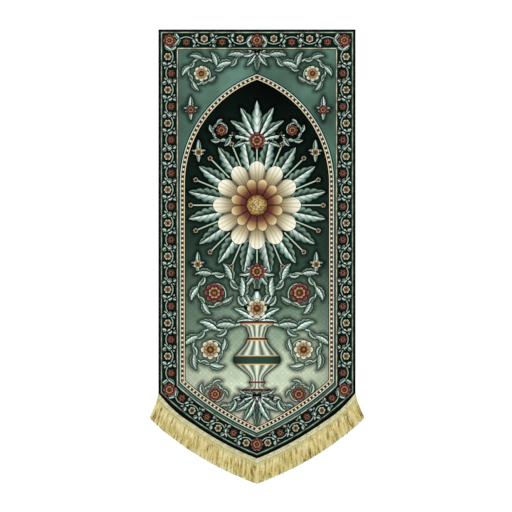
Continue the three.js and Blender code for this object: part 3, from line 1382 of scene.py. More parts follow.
@dataclass(frozen=True)
class Yarn:
    """A spun or metallised yarn: twisted plies with painted highlights along their ridges and
    painted shade in the grooves between them.
    """

    name: str
    stops: Stops
    metallic: float
    roughness: float
    plies: float = 2.0
    twist_depth: float = 0.25
    streaks: float = 240.0  # to a metre, so that the tone changes every 4 mm or so
    streak_depth: float = 0.9
    # Where fall is darker at the roots, it is painted shade under the fringe's heading.
    fall: Stops = ((0.0, "#ffffff"), (1.0, "#ffffff"))  # a tint by depth below the hem

    def material(self) -> Material:
        """Builds the yarn's finish.

        Returns:
            The material, which reads the piece's UV map and its yarn attribute.
        """
        material, tree = bare_material(self.name)
        around = add_node(tree, "SeparateXYZ", {0: add_node(tree, "UVMap", uv_map="twist")}).outputs
        yarn = add_node(tree, "Attribute", attribute_name="yarn").outputs["Vector"]
        tone, down, _ = add_node(tree, "SeparateXYZ", {0: yarn}).outputs
        phase = add_node(tree, "Math", {0: around[0], 1: around[1]}, operation="ADD")
        turn = add_node(tree, "Math", {0: phase, 1: math.tau * self.plies}, operation="MULTIPLY")
        ridge = add_node(tree, "Math", {0: turn}, operation="SINE")
        place = add_node(tree, "TexCoord").outputs["Object"]
        cells = {"Vector": place, "Scale": self.streaks, "Detail": 2.0}
        noise = add_node(tree, "TexNoise", cells)
        spread = {0: noise, 1: self.streak_depth, 2: -self.streak_depth / 2}
        streak = add_node(tree, "Math", spread, operation="MULTIPLY_ADD")
        share = add_node(tree, "Math", {0: tone, 1: streak}, operation="ADD")
        # Painted shade in the grooves between the plies, and a painted highlight on their ridges.
        groove_shading = add_node(tree, "MapRange", {0: ridge, 1: -1.0, 2: 0.4, 3: 0.66, 4: 1.06})
        # Painted shade at the yarns' roots under the heading, and a tint further down.
        depth_shade_and_tint = add_node(tree, "ValToRGB", {0: down}, self.fall)
        colour = add_node(tree, "ValToRGB", {0: share}, self.stops)
        for factor in (groove_shading, depth_shade_and_tint):
            mixed = {0: 1.0, 6: colour, 7: factor}
            colour = add_node(tree, "Mix", mixed, data_type="RGBA", blend_type="MULTIPLY")
        relief = {"Height": ridge, "Strength": 0.6, "Distance": self.twist_depth * MM}
        surface = {
            "Base Color": colour,
            "Metallic": self.metallic,
            "Roughness": self.roughness,
            "Normal": add_node(tree, "Bump", relief),
        }
        shader = add_node(tree, "BsdfPrincipled", surface)
        add_node(tree, "OutputMaterial", {"Surface": shader})
        return material


GOLD_YARN = Yarn(
    "metallised_gold_yarn",
    ((0.0, "#8a7838"), (0.25, "#bda85e"), (0.5, "#e3d088"), (0.75, "#f8e6a0"), (1.0, "#fff5c8")),
    metallic=0.12,
    roughness=0.4,
    # Its fall is painted shade, darker and bluer at the roots under the heading, then a tint
    # further down.
    fall=(
        (0.0, "#e7eef1"), (0.15, "#e7edec"), (0.25, "#f9faf3"), (0.45, "#f0eede"),
        (0.65, "#ece9ce"), (1.0, "#f5f9f6"),
    ),
)
PALE_BRAID = Yarn(
    "pale_gold_braid_yarn",
    ((0.0, "#a89a5c"), (0.3, "#d9ce8b"), (0.55, "#e9e4ad"), (0.8, "#f4f1c6"), (1.0, "#fffde0")),
    metallic=0.05,
    roughness=0.48,
)
SEWING_THREAD = Yarn(
    "polyester_sewing_thread",
    ((0.0, "#232b26"), (1.0, "#39443d")),
    metallic=0.0,
    roughness=0.6,
    twist_depth=0.08,
)


def new_piece(name: str, mesh: Mesh, materials: Sequence[Material]) -> Piece:
    """Makes an object at the origin.

    Args:
        name: The piece's name.
        mesh: Its mesh, in metres.
        materials: Its finishes, in the order of the mesh's material numbers.

    Returns:
        The object, linked to the scene.
    """
    piece = bpy.data.objects.new(name, mesh)
    bpy.context.scene.collection.objects.link(piece)
    for material in materials:
        mesh.materials.append(material)
    return piece


def unit_slab(across: int, down: int) -> tuple[bmesh.types.BMesh, list[bmesh.types.BMVert]]:
    """Builds a flat closed slab, one unit wide, tall and deep.

    Args:
        across: How many faces its front and back have across.
        down: How many they have from top to bottom.

    Returns:
        The slab, and the vertices of the side that is one unit up.
    """
    form = bmesh.new()
    bmesh.ops.create_grid(form, x_segments=across, y_segments=down, size=0.5)
    made = bmesh.ops.extrude_face_region(form, geom=list(form.faces))
    moved = [part for part in made["geom"] if isinstance(part, bmesh.types.BMVert)]
    bmesh.ops.translate(form, verts=moved, vec=(0, 0, 1))
    return form, moved


def finished(form: bmesh.types.BMesh, name: str) -> Mesh:
    """Turns a form into a mesh with smooth shading, and frees the form.

    Args:
        form: The form.
        name: The mesh's name.

    Returns:
        The mesh.
    """
    mesh = bpy.data.meshes.new(name)
    form.to_mesh(mesh)
    form.free()
    mesh.polygons.foreach_set("use_smooth", np.ones(len(mesh.polygons), bool))
    return mesh


def corners_of(mesh: Mesh) -> Array:
    """Reads where a mesh's vertices are.

    Args:
        mesh: The mesh.

    Returns:
        The vertices, one to a row.
    """
    flat = np.empty(len(mesh.vertices) * 3, np.float32)
    mesh.vertices.foreach_get("co", flat)
    return flat.reshape(-1, 3).astype(float)


def set_corners(mesh: Mesh, points: Array) -> None:
    """Puts a mesh's vertices at points that are given in millimetres."""
    mesh.vertices.foreach_set("co", (points * MM).astype(np.float32).ravel())


def add_vectors(mesh: Mesh, name: str, vectors: Array) -> None:
    """Stores a named vector on each vertex of a mesh."""
    made = mesh.attributes.new(name, "FLOAT_VECTOR", "POINT")
    made.data.foreach_set("vector", vectors.astype(np.float32).ravel())


def loft(name: str, rings: Array, twist: Array, yarn: Array) -> Mesh:
    """Joins many closed tubes, given as rings of points, in one mesh.

    Args:
        name: The mesh's name.
        rings: Points by tube, ring, place round the ring and axis, in millimetres.
        twist: How many turns the yarn has made at each ring of each tube.
        yarn: The yarn vector of each ring of each tube.

    Returns:
        The mesh, with its twist UV map and yarn attribute.
    """
    tubes, count, sides, _ = rings.shape
    number = np.arange(tubes * count * sides).reshape(tubes, count, sides)
    following = np.roll(number, -1, 2)
    quads = np.stack([number[:, :-1], following[:, :-1], following[:, 1:], number[:, 1:]], -1)
    caps = np.concatenate([number[:, 0, ::-1], number[:, -1]])
    quads = quads.reshape(-1, 4)
    loops = np.concatenate([quads.ravel(), caps.ravel()])
    sizes = np.concatenate([np.full(len(quads), 4), np.full(len(caps), sides)])
    mesh = bpy.data.meshes.new(name)
    mesh.vertices.add(number.size)
    set_corners(mesh, rings)
    mesh.loops.add(len(loops))
    mesh.loops.foreach_set("vertex_index", loops.astype(np.int32))
    mesh.polygons.add(len(sizes))
    starts = np.concatenate([[0], np.cumsum(sizes)[:-1]])
    mesh.polygons.foreach_set("loop_start", starts.astype(np.int32))
    mesh.update(calc_edges=True)
    place = np.linspace(0, 1, sides + 1)
    around = np.stack([place[:-1], place[1:], place[1:], place[:-1]], -1)
    turned = np.stack([twist[:, :-1], twist[:, :-1], twist[:, 1:], twist[:, 1:]], -1)
    shape = (tubes, count - 1, sides, 4)
    wall = np.stack(
        [np.broadcast_to(around, shape), np.broadcast_to(turned[:, :, None], shape)], -1
    )
    ends = np.zeros((caps.size, 2))
    places = np.concatenate([wall.reshape(-1, 2), ends])
    uv = mesh.uv_layers.new(name="twist")
    uv.data.foreach_set("uv", places.astype(np.float32).ravel())
    add_vectors(mesh, "yarn", np.repeat(yarn.reshape(-1, 3), sides, 0))
    mesh.polygons.foreach_set("use_smooth", sizes == 4)
    mesh.validate()
    return mesh


def rings_round(paths: Array, radii: Array, sides: int) -> Array:
    """Round rings of points along paths that stay near the cloth's plane.

    Args:
        paths: Points by tube, ring and axis.
        radii: The radius at each ring of each tube.
        sides: How many points a ring has.

    Returns:
        The rings, by tube, ring, place and axis.
    """
    way = np.gradient(paths, axis=1)
    way /= np.linalg.norm(way, axis=-1, keepdims=True)
    across = np.cross(way, (0.0, 1.0, 0.0))
    across /= np.linalg.norm(across, axis=-1, keepdims=True)
    out = np.cross(way, across)
    angle = np.arange(sides) * 2 * np.pi / sides
    turn = across[:, :, None] * np.cos(angle)[:, None] + out[:, :, None] * np.sin(angle)[:, None]
    return paths[:, :, None] + radii[:, :, None, None] * turn


@dataclass
class VelvetPanel:
    """The banner's cloth: one printed sheet with rolled edges and hems turned to the back."""

    cut: PointedCut
    hanging: HangingForm
    design: PrintedDesign
    columns: int = 50
    rows: int = 108
    cuts: int = 3  # how finely the front is divided again, to carry the print
    top_hem: float = 25.0
    side_hem: float = 12.0
    lower_hem: float = 14.0
    hem_step: float = 0.6  # the run over which a hem's second layer ends
    area_steps: int = 401

    @property
    def roll(self) -> float:
        """The radius of the folded edge."""
        return self.hanging.cloth

    def flat_area(self) -> float:
        """The area inside the cloth's outline.

        Returns:
            The area in square millimetres.
        """
        x = np.linspace(-self.cut.half_width, self.cut.half_width, self.area_steps)
        depth = self.cut.under_heading - self.cut.hem_height(x)
        return float(np.sum((depth[1:] + depth[:-1]) / 2) * (x[1] - x[0]))

    def hem_lines(self, span: float, first: float, last: float, count: int) -> Array:
        """Grid lines across the back: a hem, its step, even spaces, a step, a hem.

        Args:
            span: The whole width.
            first: The first hem's depth.
            last: The last hem's depth.
            count: How many spaces there are between the lines.

        Returns:
            The lines' places, from 0 to 1.
        """
        inner = np.linspace(first + self.hem_step, span - last - self.hem_step, count - 3)
        return np.concatenate([[0.0, first], inner, [span - last, span]]) / span

    def slab(self) -> Mesh:
        """Builds a flat closed slab of one unit, finely divided on its front.

        Returns:
            The mesh, whose vertices say across, up and how far behind the front each is.
        """
        form, moved = unit_slab(self.columns, self.rows)
        behind = set(moved)
        fine = [
            edge
            for edge in form.edges
            if not all(vertex in behind for vertex in edge.verts)
            or any(not all(vertex in behind for vertex in face.verts) for face in edge.link_faces)
        ]
        bmesh.ops.subdivide_edges(form, edges=fine, cuts=self.cuts, use_grid_fill=True)
        return finished(form, "printed_velvet")

    def back_rows(self, v: Array, drop: Array) -> Array:
        """Finds where the slab's rows lie on the back, so that they follow the hems' edges.

        Args:
            v: The rows' even places, from 0 at the top to 1 at the foot.
            drop: The cloth's length at each point.

        Returns:
            Their places on the back, from 0 to 1.
        """
        even = np.linspace(0, 1, self.rows + 1)
        lines = self.hem_lines(self.cut.side_length, self.top_hem, self.lower_hem, self.rows)
        stretch = self.cut.side_length / drop
        place = np.interp(v, even, lines)
        place = np.where(place < 0.5, place * stretch, 1 - (1 - place) * stretch)
        # Between the steps of the two hems the rows are evenly spaced.
        middle = (v > 1.5 / self.rows) & (v < 1 - 1.5 / self.rows)
        low = (self.top_hem + self.hem_step) / drop
        high = 1 - (self.lower_hem + self.hem_step) / drop
        inner = low + (high - low) * (v * self.rows - 2) / (self.rows - 4)
        return np.where(middle, inner, place)

    def shape(self, flat: Array) -> Array:
        """Moves the slab's points to where the cloth hangs.

        Args:
            flat: The slab's points.

        Returns:
            The hanging cloth's points.
        """
        u, v, back = flat[:, 0] + 0.5, 0.5 - flat[:, 1], flat[:, 2]
        width = 2 * (self.cut.half_width - self.roll)
        lines = self.hem_lines(width, self.side_hem, self.side_hem, self.columns)
        u_back = np.interp(u, np.linspace(0, 1, self.columns + 1), lines)
        x = (u + (u_back - u) * back - 0.5) * width
        bottom = self.cut.under_heading - self.cut.hem_height(x) - self.roll
        drop = bottom - self.roll
        z = -self.roll - (v + (self.back_rows(v, drop) - v) * back) * drop
        # The outermost points go round the folded edge from the front to the back.
        out = self.roll * np.sin(np.pi * back)
        side = np.where(u < TINY, -1.0, np.where(u > 1 - TINY, 1.0, 0.0))
        level = np.where(v < TINY, 1.0, 0.0)
        foot = v > 1 - TINY
        aside = (np.abs(x) - self.cut.centre[0]) / self.cut.radius * np.sign(x)
        x = x + out * side + np.where(foot, out * aside, 0.0)
        z = z + out * level - np.where(foot, out * np.sqrt(1 - aside.clip(-1, 1) ** 2), 0.0)
        # The cloth is a single layer from the second grid line inwards.
        rows, columns = v * self.rows, u * self.columns
        single = (rows > 1.5) & (rows < self.rows - 1.5)
        single &= (columns > 1.5) & (columns < self.columns - 1.5)
        layers = np.where(single, self.hanging.cloth, self.hanging.turned)
        depth = np.where(back > NEARLY, layers, self.roll * (1 - np.cos(np.pi * back)))
        return np.stack([x, self.hanging.face(x, z) + depth, z], 1)

    def backed(self, mesh: Mesh, flat: Array) -> Array:
        """Finds the faces that show the knitted back.

        Args:
            mesh: The cloth's mesh.
            flat: The slab's points.

        Returns:
            1 for each face on the back between the hems, and 0 for each of the others.
        """
        found = np.zeros(len(mesh.polygons), np.int32)
        for polygon in mesh.polygons:
            corners = flat[list(polygon.vertices)]
            u, v = corners[:, 0].mean() + 0.5, 0.5 - corners[:, 1].mean()
            between_sides = 2 / self.columns < u < 1 - 2 / self.columns
            between_ends = 2 / self.rows < v < 1 - 2 / self.rows
            behind = corners[:, 2].min() > NEARLY
            found[polygon.index] = int(between_sides and between_ends and behind)
        return found

    def build(self) -> Piece:
        """Builds and dresses the cloth.

        Returns:
            The finished piece.
        """
        mesh = self.slab()
        flat = corners_of(mesh)
        points = self.shape(flat)
        set_corners(mesh, points)
        # The hems' backs show the ink of the cloth's edge.
        bleed = self.cut.half_width - self.roll
        printed_x = np.where(flat[:, 2] > NEARLY, bleed, points[:, 0])
        for name, vectors in self.design.draw(printed_x, points[:, 2]).items():
            add_vectors(mesh, name, vectors)
        mesh.polygons.foreach_set("material_index", self.backed(mesh, flat))
        form = bmesh.new()
        form.from_mesh(mesh)
        bmesh.ops.recalc_face_normals(form, faces=form.faces)
        form.to_mesh(mesh)
        form.free()
        finishes = [PrintedVelvet.material(), KnittedBack().material()]
        piece = new_piece("printed_velvet", mesh, finishes)
        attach(piece, ROOT)
        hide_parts("velvet_panel")
        return piece


@dataclass
class HemStitching:
    """The lockstitch rows that hold the turned hems, seen on the back."""

    cut: PointedCut
    hanging: HangingForm
    pitch: float = 3.4
    length: float = 2.7
    thread: float = 0.32
    rise: float = 0.2
    top_row: float = 22.0
    side_row: float = 10.0
    lower_row: float = 3.0  # above the hem line
    lower_span: float = 0.955  # the share of the hem line that its row follows
    head_gap: float = 6.0  # between the top row and a side row
    foot_gap: float = 8.0  # between a side row and the hem line
    row_points: int = 61
    ahead: float = 0.1  # how far along its row a stitch's direction is looked up
    rings: int = 5
    sides: int = 6
    turns: float = 3.0  # the thread's, in one stitch

    def rows(self) -> list[Array]:
        """The lines of the stitch rows, in the plane of the cloth.

        Returns:
            The points of each line, as x and z.
        """
        wide = self.cut.half_width - self.side_row
        top = np.array([[-wide, -self.top_row], [wide, -self.top_row]])
        share = np.linspace(-self.lower_span, self.lower_span, self.row_points)
        x, z = self.cut.hem_point(share)
        found = [top, np.stack([x, z + self.lower_row], 1)]
        head = -self.top_row - self.head_gap
        foot = float(self.cut.hem_height(np.array([wide]))[0]) + self.foot_gap
        for side in (-1, 1):
            found.append(np.array([[side * wide, head], [side * wide, foot]]))
        return found

    def build(self) -> Piece:
        """Builds the stitches as one joined mesh.

        Returns:
            The finished piece.
        """
        starts, ways = [], []
        for line in self.rows():
            steps = np.diff(line, axis=0)
            run = np.concatenate([[0], np.cumsum(np.hypot(steps[:, 0], steps[:, 1]))])
            places = np.arange(self.pitch / 2, run[-1], self.pitch)
            x, z = np.interp(places, run, line[:, 0]), np.interp(places, run, line[:, 1])
            after_x = np.interp(places + self.ahead, run, line[:, 0])
            after_z = np.interp(places + self.ahead, run, line[:, 1])
            way = np.stack([after_x - x, after_z - z], 1)
            starts.append(np.stack([x, z], 1))
            ways.append(way / np.linalg.norm(way, axis=1, keepdims=True))
        middle, way = np.concatenate(starts), np.concatenate(ways)
        share = np.linspace(-0.5, 0.5, self.rings)
        x = middle[:, :1] + way[:, :1] * share * self.length
        z = middle[:, 1:] + way[:, 1:] * share * self.length
        bend = (2 * share) ** 4
        bow = self.rise * (1 - bend) - self.thread * bend
        y = self.hanging.face(x, z) + self.hanging.turned + bow
        paths = np.stack([x, y, z], -1)
        radii = np.full(paths.shape[:2], self.thread)
        twist = np.broadcast_to(share * self.turns, radii.shape)
        yarn = np.full((*radii.shape, 3), 0.5)
        mesh = loft("hem_stitches", rings_round(paths, radii, self.sides), twist, yarn)
        piece = new_piece("hem_stitches", mesh, [SEWING_THREAD.material()])
        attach(piece, ROOT)
        return piece


@dataclass(frozen=True)
class Cord:
    """One edge cord of two plies: its place below the hem, sizes, pitch and paleness."""

    place: float
    ply_radius: float
    ply_offset: float
    pitch: float
    tone: float


@dataclass
class FringeHeading:
    """The fringe's woven heading: a ribbed tape, a corded edge on each side, and gimp between."""

    form: FringeForm
    tape: float = 1.7  # the tape's thickness
    steps: int = 380
    ribs: int = 7
    rib_height: float = 0.28
    cords: tuple[Cord, ...] = (Cord(4.4, 0.95, 0.85, 5.6, 0.74), Cord(11.0, 1.0, 0.85, 5.2, 1.05))
    ply_shade: float = 0.3  # how much deeper in tone a cord's second ply is
    gimp_radius: float = 0.6
    gimp_swing: float = 1.3
    gimp_pitch: float = 4.0
    gimp_place: float = 7.6
    gimp_rise: float = 0.3
    gimp_tone: float = 0.86
    cord_lift: float = 0.35  # how far the cords and the gimp stand off the tape
    yarn_turns: tuple[float, ...] = (1.6, 3.0, 1.8)  # the run of a turn in tape, cord and gimp
    step: float = 0.75  # between the rings of a cord
    sides: int = 6
    waver: float = 0.35  # how far the sewn-on cords stray from their line
    waver_lengths: tuple[float, ...] = (11.8, 17.3)
    tone_waver: float = 0.13  # how unevenly the heading's tone runs along it
    tone_waver_lengths: tuple[float, ...] = (4.3, 7.1, 11.3, 18.1, 31.0)
    tape_slant: float = 0.02  # how far that tone slants across the tape, as a share of the hem
    cord_slant: float = 0.006  # and from one cord to the next
    tape_tone: float = 0.6
    tape_shade: float = 0.12  # how much deeper in tone the tape's lower edge is
    end: float = 0.997  # where the tape's cut ends are, as a share of the hem

    def stray(self, share: Array, lengths: Sequence[float]) -> Array:
        """The sum of waves along the hem, whose lengths are 2 pi times those given."""
        run = math.tau * share * self.form.cut.hem_length()
        return sum(np.sin(run / length) for length in lengths)

    def tape_mesh(self) -> Mesh:
        """The ribbed tape, swept along the hem.

        Returns:
            A closed mesh, with its twist UV map and yarn attribute.
        """
        form, _ = unit_slab(self.steps, 4 * self.ribs)
        bmesh.ops.recalc_face_normals(form, faces=form.faces)
        mesh = finished(form, "fringe_heading")
        flat = corners_of(mesh)
        share, down, lift = 2 * flat[:, 0] * self.end, 0.5 - flat[:, 1], flat[:, 2]
        rib = self.rib_height * np.abs(np.sin(np.pi * self.ribs * down))
        high = lift * (self.tape - self.rib_height + rib)
        depth = self.form.heading_top + down * self.form.heading_depth
        set_corners(mesh, self.form.place(share, depth, high))
        uv = mesh.uv_layers.new(name="twist")
        corner = np.empty(len(mesh.loops), np.int32)
        mesh.loops.foreach_get("vertex_index", corner)
        along = share * self.form.cut.hem_length() / self.yarn_turns[0]
        places = np.stack([along, along * 0], 1)[corner]
        uv.data.foreach_set("uv", places.astype(np.float32).ravel())
        wavering = self.tone_waver * self.stray(share + self.tape_slant * down, self.tone_waver_lengths)
        # Each rib's crest is painted paler, as a painted highlight.
        tone = self.tape_tone - self.tape_shade * down + rib + wavering
        add_vectors(mesh, "yarn", np.stack([tone, np.full_like(rib, 0.5), rib], 1))
        return mesh

    def cord_mesh(self) -> Mesh:
        """The two plies of each edge cord, and the gimp that crosses between the cords.

        Returns:
            One mesh, with its twist UV map and yarn attribute.
        """
        length = 2 * self.form.cut.hem_length()
        run = np.linspace(-1, 1, int(length / self.step)) * self.end
        _, cord_turn, gimp_turn = self.yarn_turns
        above = self.tape + self.cord_lift
        paths, radii, twists, tones = [], [], [], []
        for cord in self.cords:
            for ply in (0.0, math.pi):
                turn = math.pi * length * run / cord.pitch + ply
                stray = self.waver * self.stray(run, self.waver_lengths)
                depth = cord.place + cord.ply_offset * np.cos(turn) + stray
                lift = above + cord.ply_offset * np.sin(turn)
                paths.append(self.form.place(run, depth, lift))
                radii.append(cord.ply_radius)
                twists.append(run * length / cord_turn)
                tones.append(cord.tone - self.ply_shade * (ply > 0))
        for ply in (0.0, math.pi):
            turn = math.pi * length * run / self.gimp_pitch + ply
            depth = self.gimp_place + self.gimp_swing * np.sin(turn)
            lift = above + self.gimp_rise * np.sin(turn)
            aside = 0.25 * self.gimp_pitch * np.sin(2 * turn)
            paths.append(self.form.place(run, depth, lift, aside))
            radii.append(self.gimp_radius)
            twists.append(run * length / gimp_turn)
            tones.append(self.gimp_tone)
        ones = np.ones((len(paths), run.size))
        slant = run + self.cord_slant * np.arange(len(paths))[:, None]
        tone = np.array(tones)[:, None] + self.tone_waver * self.stray(slant, self.tone_waver_lengths)
        yarn = np.stack([tone, ones / 2, ones / 2], -1)
        rings = rings_round(np.stack(paths), ones * np.array(radii)[:, None], self.sides)
        return loft("heading_cords", rings, np.stack(twists), yarn)

    def build(self) -> list[Piece]:
        """Builds the tape and its cords.

        Returns:
            The two finished pieces.
        """
        braid = PALE_BRAID.material()
        made = []
        for mesh in (self.tape_mesh(), self.cord_mesh()):
            piece = new_piece(mesh.name, mesh, [braid])
            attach(piece, ROOT)
            made.append(piece)
        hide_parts("gold_fringe")
        return made


class Row(Enum):
    """The skirt's two rows of yarns."""

    FRONT = "front"
    BACK = "back"


@dataclass
class FringeSkirt:
    """One row of the fringe's yarns, which hang in crinkled, uneven clumps."""

    form: FringeForm
    row: Row
    lift: float  # how far the row stands off the cloth's face
    clump: float  # how far the yarns gather sideways
    jitter: float  # how unevenly they are spaced, in spaces
    tone: float
    seed: int
    strands: int = 520
    rings: int = 17
    sides: int = 5
    radius: float = 0.9
    swell: float = 0.1  # how far the radius swells and shrinks along a yarn
    tip: float = 0.55  # its last ring's share of the radius
    thickness: Pair = (0.88, 1.12)  # the thinnest and the thickest yarn
    span: float = 0.993  # the share of the hem that the row covers
    root: float = 13.6
    unevenness: float = 1.1
    gather_lengths: tuple[float, ...] = (8.5, 13.0, 23.0)
    gather_strength: Pair = (0.7, 1.3)  # of the weakest and the strongest of their waves
    gather_growth: float = 1.4
    crimp: float = 0.45
    crimp_lift: float = 0.35
    crimp_pitch: Pair = (7.0, 12.0)
    stray: float = 0.7  # how far a yarn's end strays sideways
    lift_stray: float = 0.35
    twist_pitch: float = 3.2
    flecks: tuple[Pair, ...] = ((3.7, 21.0), (2.0, 13.0))  # widths and lengths
    fleck_start: float = 14.0  # how far below the root they have their full strength
    fleck_waver: float = 0.3  # how far their ends lie out of line, in lengths
    # The flecks' pale and dark tones are painted highlight and painted shade on the clumps.
    fleck_light_and_shade: float = 0.5
    tone_stray: float = 0.12
    relief: float = 1.1  # how far the pale flecks stand out before the dark ones

    def waves(self, share: Array, rng: np.random.Generator, lengths: Sequence[float]) -> Array:
        """A smooth uneven line along the hem, made of waves.

        Args:
            share: Places along the hem.
            rng: The row's random numbers.
            lengths: The waves' lengths.

        Returns:
            The line's offset at each place, about from -1 to 1.
        """
        run = share * self.form.cut.hem_length()
        total = np.zeros_like(run)
        for length in lengths:
            wave = np.sin(2 * np.pi * (run / length + rng.random()))
            total += wave * rng.uniform(*self.gather_strength)
        return total / len(lengths)

    def fleck_noise(self, share: Array, depth: Array, rng: np.random.Generator) -> Array:
        """Smooth noise over the skirt, in cells as wide and long as its pale and dark flecks of
        painted highlight and shade.

        Args:
            share: Places along the hem.
            depth: Depths below the hem line.
            rng: The row's random numbers.

        Returns:
            The sum of the sizes' noises, each from -1 to 1.
        """
        total = np.zeros_like(depth)
        for width, length in self.flecks:
            across = (share + 1) * self.form.cut.hem_length() / width
            down = 1 + depth / length + self.fleck_waver * np.sin(1.7 * across)
            column, row = across.astype(int), down.astype(int)
            cells = rng.uniform(-1, 1, (column.max() + 2, row.max() + 2))
            beside, below = smoothstep(across - column, 0, 1), smoothstep(down - row, 0, 1)
            upper = cells[column, row] * (1 - beside) + cells[column + 1, row] * beside
            lower = cells[column, row + 1] * (1 - beside) + cells[column + 1, row + 1] * beside
            total += upper * (1 - below) + lower * below
        return total

    def build(self) -> Piece:
        """Builds the row as one joined mesh.

        Returns:
            The finished piece.
        """
        rng = np.random.default_rng(self.seed)
        jitter = rng.uniform(-self.jitter, self.jitter, self.strands)
        place = np.arange(self.strands) + 0.5 + jitter
        share = -self.span + 2 * self.span * place / self.strands
        down = np.linspace(0, 1, self.rings)
        gather = self.clump * self.waves(share, rng, self.gather_lengths)
        length = self.form.full_depth(share)
        length = length + self.unevenness * (rng.uniform(-1, 1, self.strands) + 0.5 * gather)
        depth = self.root + (length - self.root)[:, None] * down
        run = depth - self.root
        wide = share[:, None] + 0 * depth
        fleck = self.fleck_noise(wide, depth, rng) * smoothstep(run, 0.0, self.fleck_start)
        each = (self.strands, 1)
        pitch = rng.uniform(*self.crimp_pitch, each)
        phase = rng.uniform(0, 2 * np.pi, each)
        loose = np.minimum(1, 3 * down)
        wave = 2 * np.pi * run / pitch + phase
        across = gather[:, None] * down**self.gather_growth + self.crimp * loose * np.sin(wave)
        across = across + rng.uniform(-self.stray, self.stray, each) * down
        lift = self.lift + self.relief * fleck + self.crimp_lift * loose * np.cos(wave)
        lift = lift + rng.uniform(-self.lift_stray, self.lift_stray, each) * down
        paths = self.form.place(wide, depth, lift, across)
        swell = 1 + self.swell * np.sin(wave * 1.7)
        taper = np.where(down > NEARLY, self.tip, 1.0)
        radii = self.radius * swell * taper * rng.uniform(*self.thickness, each)
        twist = run / self.twist_pitch + phase
        # Painted highlight on the flecks that stand out, and painted shade on those that recede.
        tone = self.tone + self.fleck_light_and_shade * fleck
        tone = tone + rng.uniform(-self.tone_stray, self.tone_stray, each)
        yarn = np.stack([tone, np.broadcast_to(down, run.shape), phase + 0 * run], -1)
        name = f"fringe_skirt_{self.row.value}"
        mesh = loft(name, rings_round(paths, radii, self.sides), twist, yarn)
        piece = new_piece(name, mesh, [GOLD_YARN.material()])
        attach(piece, ROOT)
        return piece


@dataclass(frozen=True)
class Softbox:
    """One square softbox: its name, place and size in metres, and its power in watts."""

    name: str
    place: tuple[float, float, float]
    size: float
    power: float


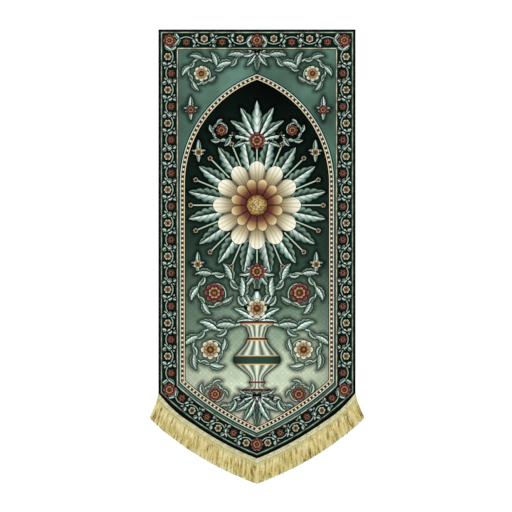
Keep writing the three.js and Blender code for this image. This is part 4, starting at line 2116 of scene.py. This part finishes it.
@dataclass
class Studio:
    """A plain pale floor that sweeps up to a backdrop, soft lights and a long lens, in metres."""

    floor: float = -1.32
    wall: float = 6.0  # behind every camera that looks at the banner's back
    sweep: float = 1.6
    sweep_steps: int = 12
    half_width: float = 7.0
    front: float = -7.0
    top: float = 6.0
    paper: str = "#f7f7f5"
    paper_roughness: float = 0.9
    paper_glow: float = 0.16  # keeps the backdrop as evenly pale as the photograph's
    daylight: float = 0.8
    softboxes: tuple[Softbox, ...] = (
        Softbox("left_softbox", (-2.4, -3.2, 0.6), 2.2, 30),
        Softbox("right_softbox", (2.4, -3.2, 0.2), 2.2, 19),
        Softbox("top_softbox", (0, -1.2, 2.4), 1.8, 8),
        Softbox("back_softbox", (1.2, 4.6, 2.6), 2.4, 30),
    )
    middle: tuple[float, float, float] = (0, 0, -0.55)  # where every softbox points
    lens: float = 100.0  # in millimetres, as is the sensor
    sensor: float = 36.0
    photo_width: float = 1.2982  # what the photograph's frame spans at the cloth
    aim: Pair = (-0.0025, -0.5748)
    face: float = -0.004  # the printed face's y
    far: float = 60.0

    def backdrop(self) -> None:
        """The floor and backdrop, as one smooth sheet."""
        form = bmesh.new()
        profile = [(self.front, self.floor)]
        for step in range(self.sweep_steps + 1):
            angle = math.pi / 2 * step / self.sweep_steps
            y = self.wall - self.sweep + self.sweep * math.sin(angle)
            profile.append((y, self.floor + self.sweep * (1 - math.cos(angle))))
        profile.append((self.wall, self.top))
        points = [form.verts.new((-self.half_width, y, z)) for y, z in profile]
        edges = [form.edges.new(pair) for pair in zip(points, points[1:])]
        made = bmesh.ops.extrude_edge_only(form, edges=edges)
        moved = [part for part in made["geom"] if isinstance(part, bmesh.types.BMVert)]
        bmesh.ops.translate(form, verts=moved, vec=(2 * self.half_width, 0, 0))
        bmesh.ops.recalc_face_normals(form, faces=form.faces)
        material, tree = bare_material("matt_white_paper")
        surface = {
            "Base Color": linear(self.paper),
            "Roughness": self.paper_roughness,
            "Emission Color": (1, 1, 1, 1),
            "Emission Strength": self.paper_glow,
        }
        shader = add_node(tree, "BsdfPrincipled", surface)
        add_node(tree, "OutputMaterial", {"Surface": shader})
        new_piece("backdrop", finished(form, "backdrop"), [material])

    def lights(self) -> None:
        """Two broad front lights, one over the cloth, and light on the backdrop."""
        for box in self.softboxes:
            lamp = bpy.data.lights.new(box.name, "AREA")
            lamp.size = box.size
            lamp.energy = box.power
            holder = bpy.data.objects.new(box.name, lamp)
            bpy.context.scene.collection.objects.link(holder)
            holder.location = box.place
            way = Vector(self.middle) - Vector(box.place)
            holder.rotation_euler = way.to_track_quat("-Z", "Y").to_euler()
        world = bpy.data.worlds.new("studio")
        world.use_nodes = True
        background = world.node_tree.nodes["Background"]
        background.inputs["Color"].default_value = (1, 1, 1, 1)
        background.inputs["Strength"].default_value = self.daylight
        bpy.context.scene.world = world

    def camera(self) -> None:
        """The camera, square on to the printed face."""
        data = bpy.data.cameras.new("camera")
        data.lens = self.lens
        data.sensor_width = self.sensor
        data.clip_end = self.far
        holder = bpy.data.objects.new("camera", data)
        bpy.context.scene.collection.objects.link(holder)
        away = self.photo_width * self.lens / self.sensor
        holder.location = (self.aim[0], self.face - away, self.aim[1])
        holder.rotation_euler = (math.pi / 2, 0, 0)
        bpy.context.scene.camera = holder

    def build(self) -> None:
        """Sets up the stage, the lights and the camera."""
        self.backdrop()
        self.lights()
        self.camera()
        bpy.context.scene.view_settings.view_transform = "Standard"


def main() -> None:
    """Builds the banner's pieces in order, then the studio."""
    logging.basicConfig(level=logging.INFO, format="%(name)s: %(message)s")
    cut, hanging = PointedCut(), HangingForm()
    form = FringeForm(cut, hanging)
    panel = VelvetPanel(cut, hanging, PrintedDesign(cut))
    velvet = panel.build()
    front = FringeSkirt(form, Row.FRONT, lift=2.6, clump=1.4, jitter=0.3, tone=0.61, seed=5)
    # The back row is the same yarn in a lower tone, as painted shade behind the front row.
    back = FringeSkirt(form, Row.BACK, lift=0.9, clump=0.3, jitter=0.1, tone=0.36, seed=11)
    trims = [HemStitching(cut, hanging).build(), *FringeHeading(form).build()]
    trims += [front.build(), back.build()]
    for piece in [velvet, *trims]:
        triangles = sum(len(polygon.vertices) - 2 for polygon in piece.data.polygons)
        LOG.info("%s has %d triangles", piece.name, triangles)
    panel.flat_area() * MM * MM
    Studio().build()


if __name__ == "__main__":
    main()
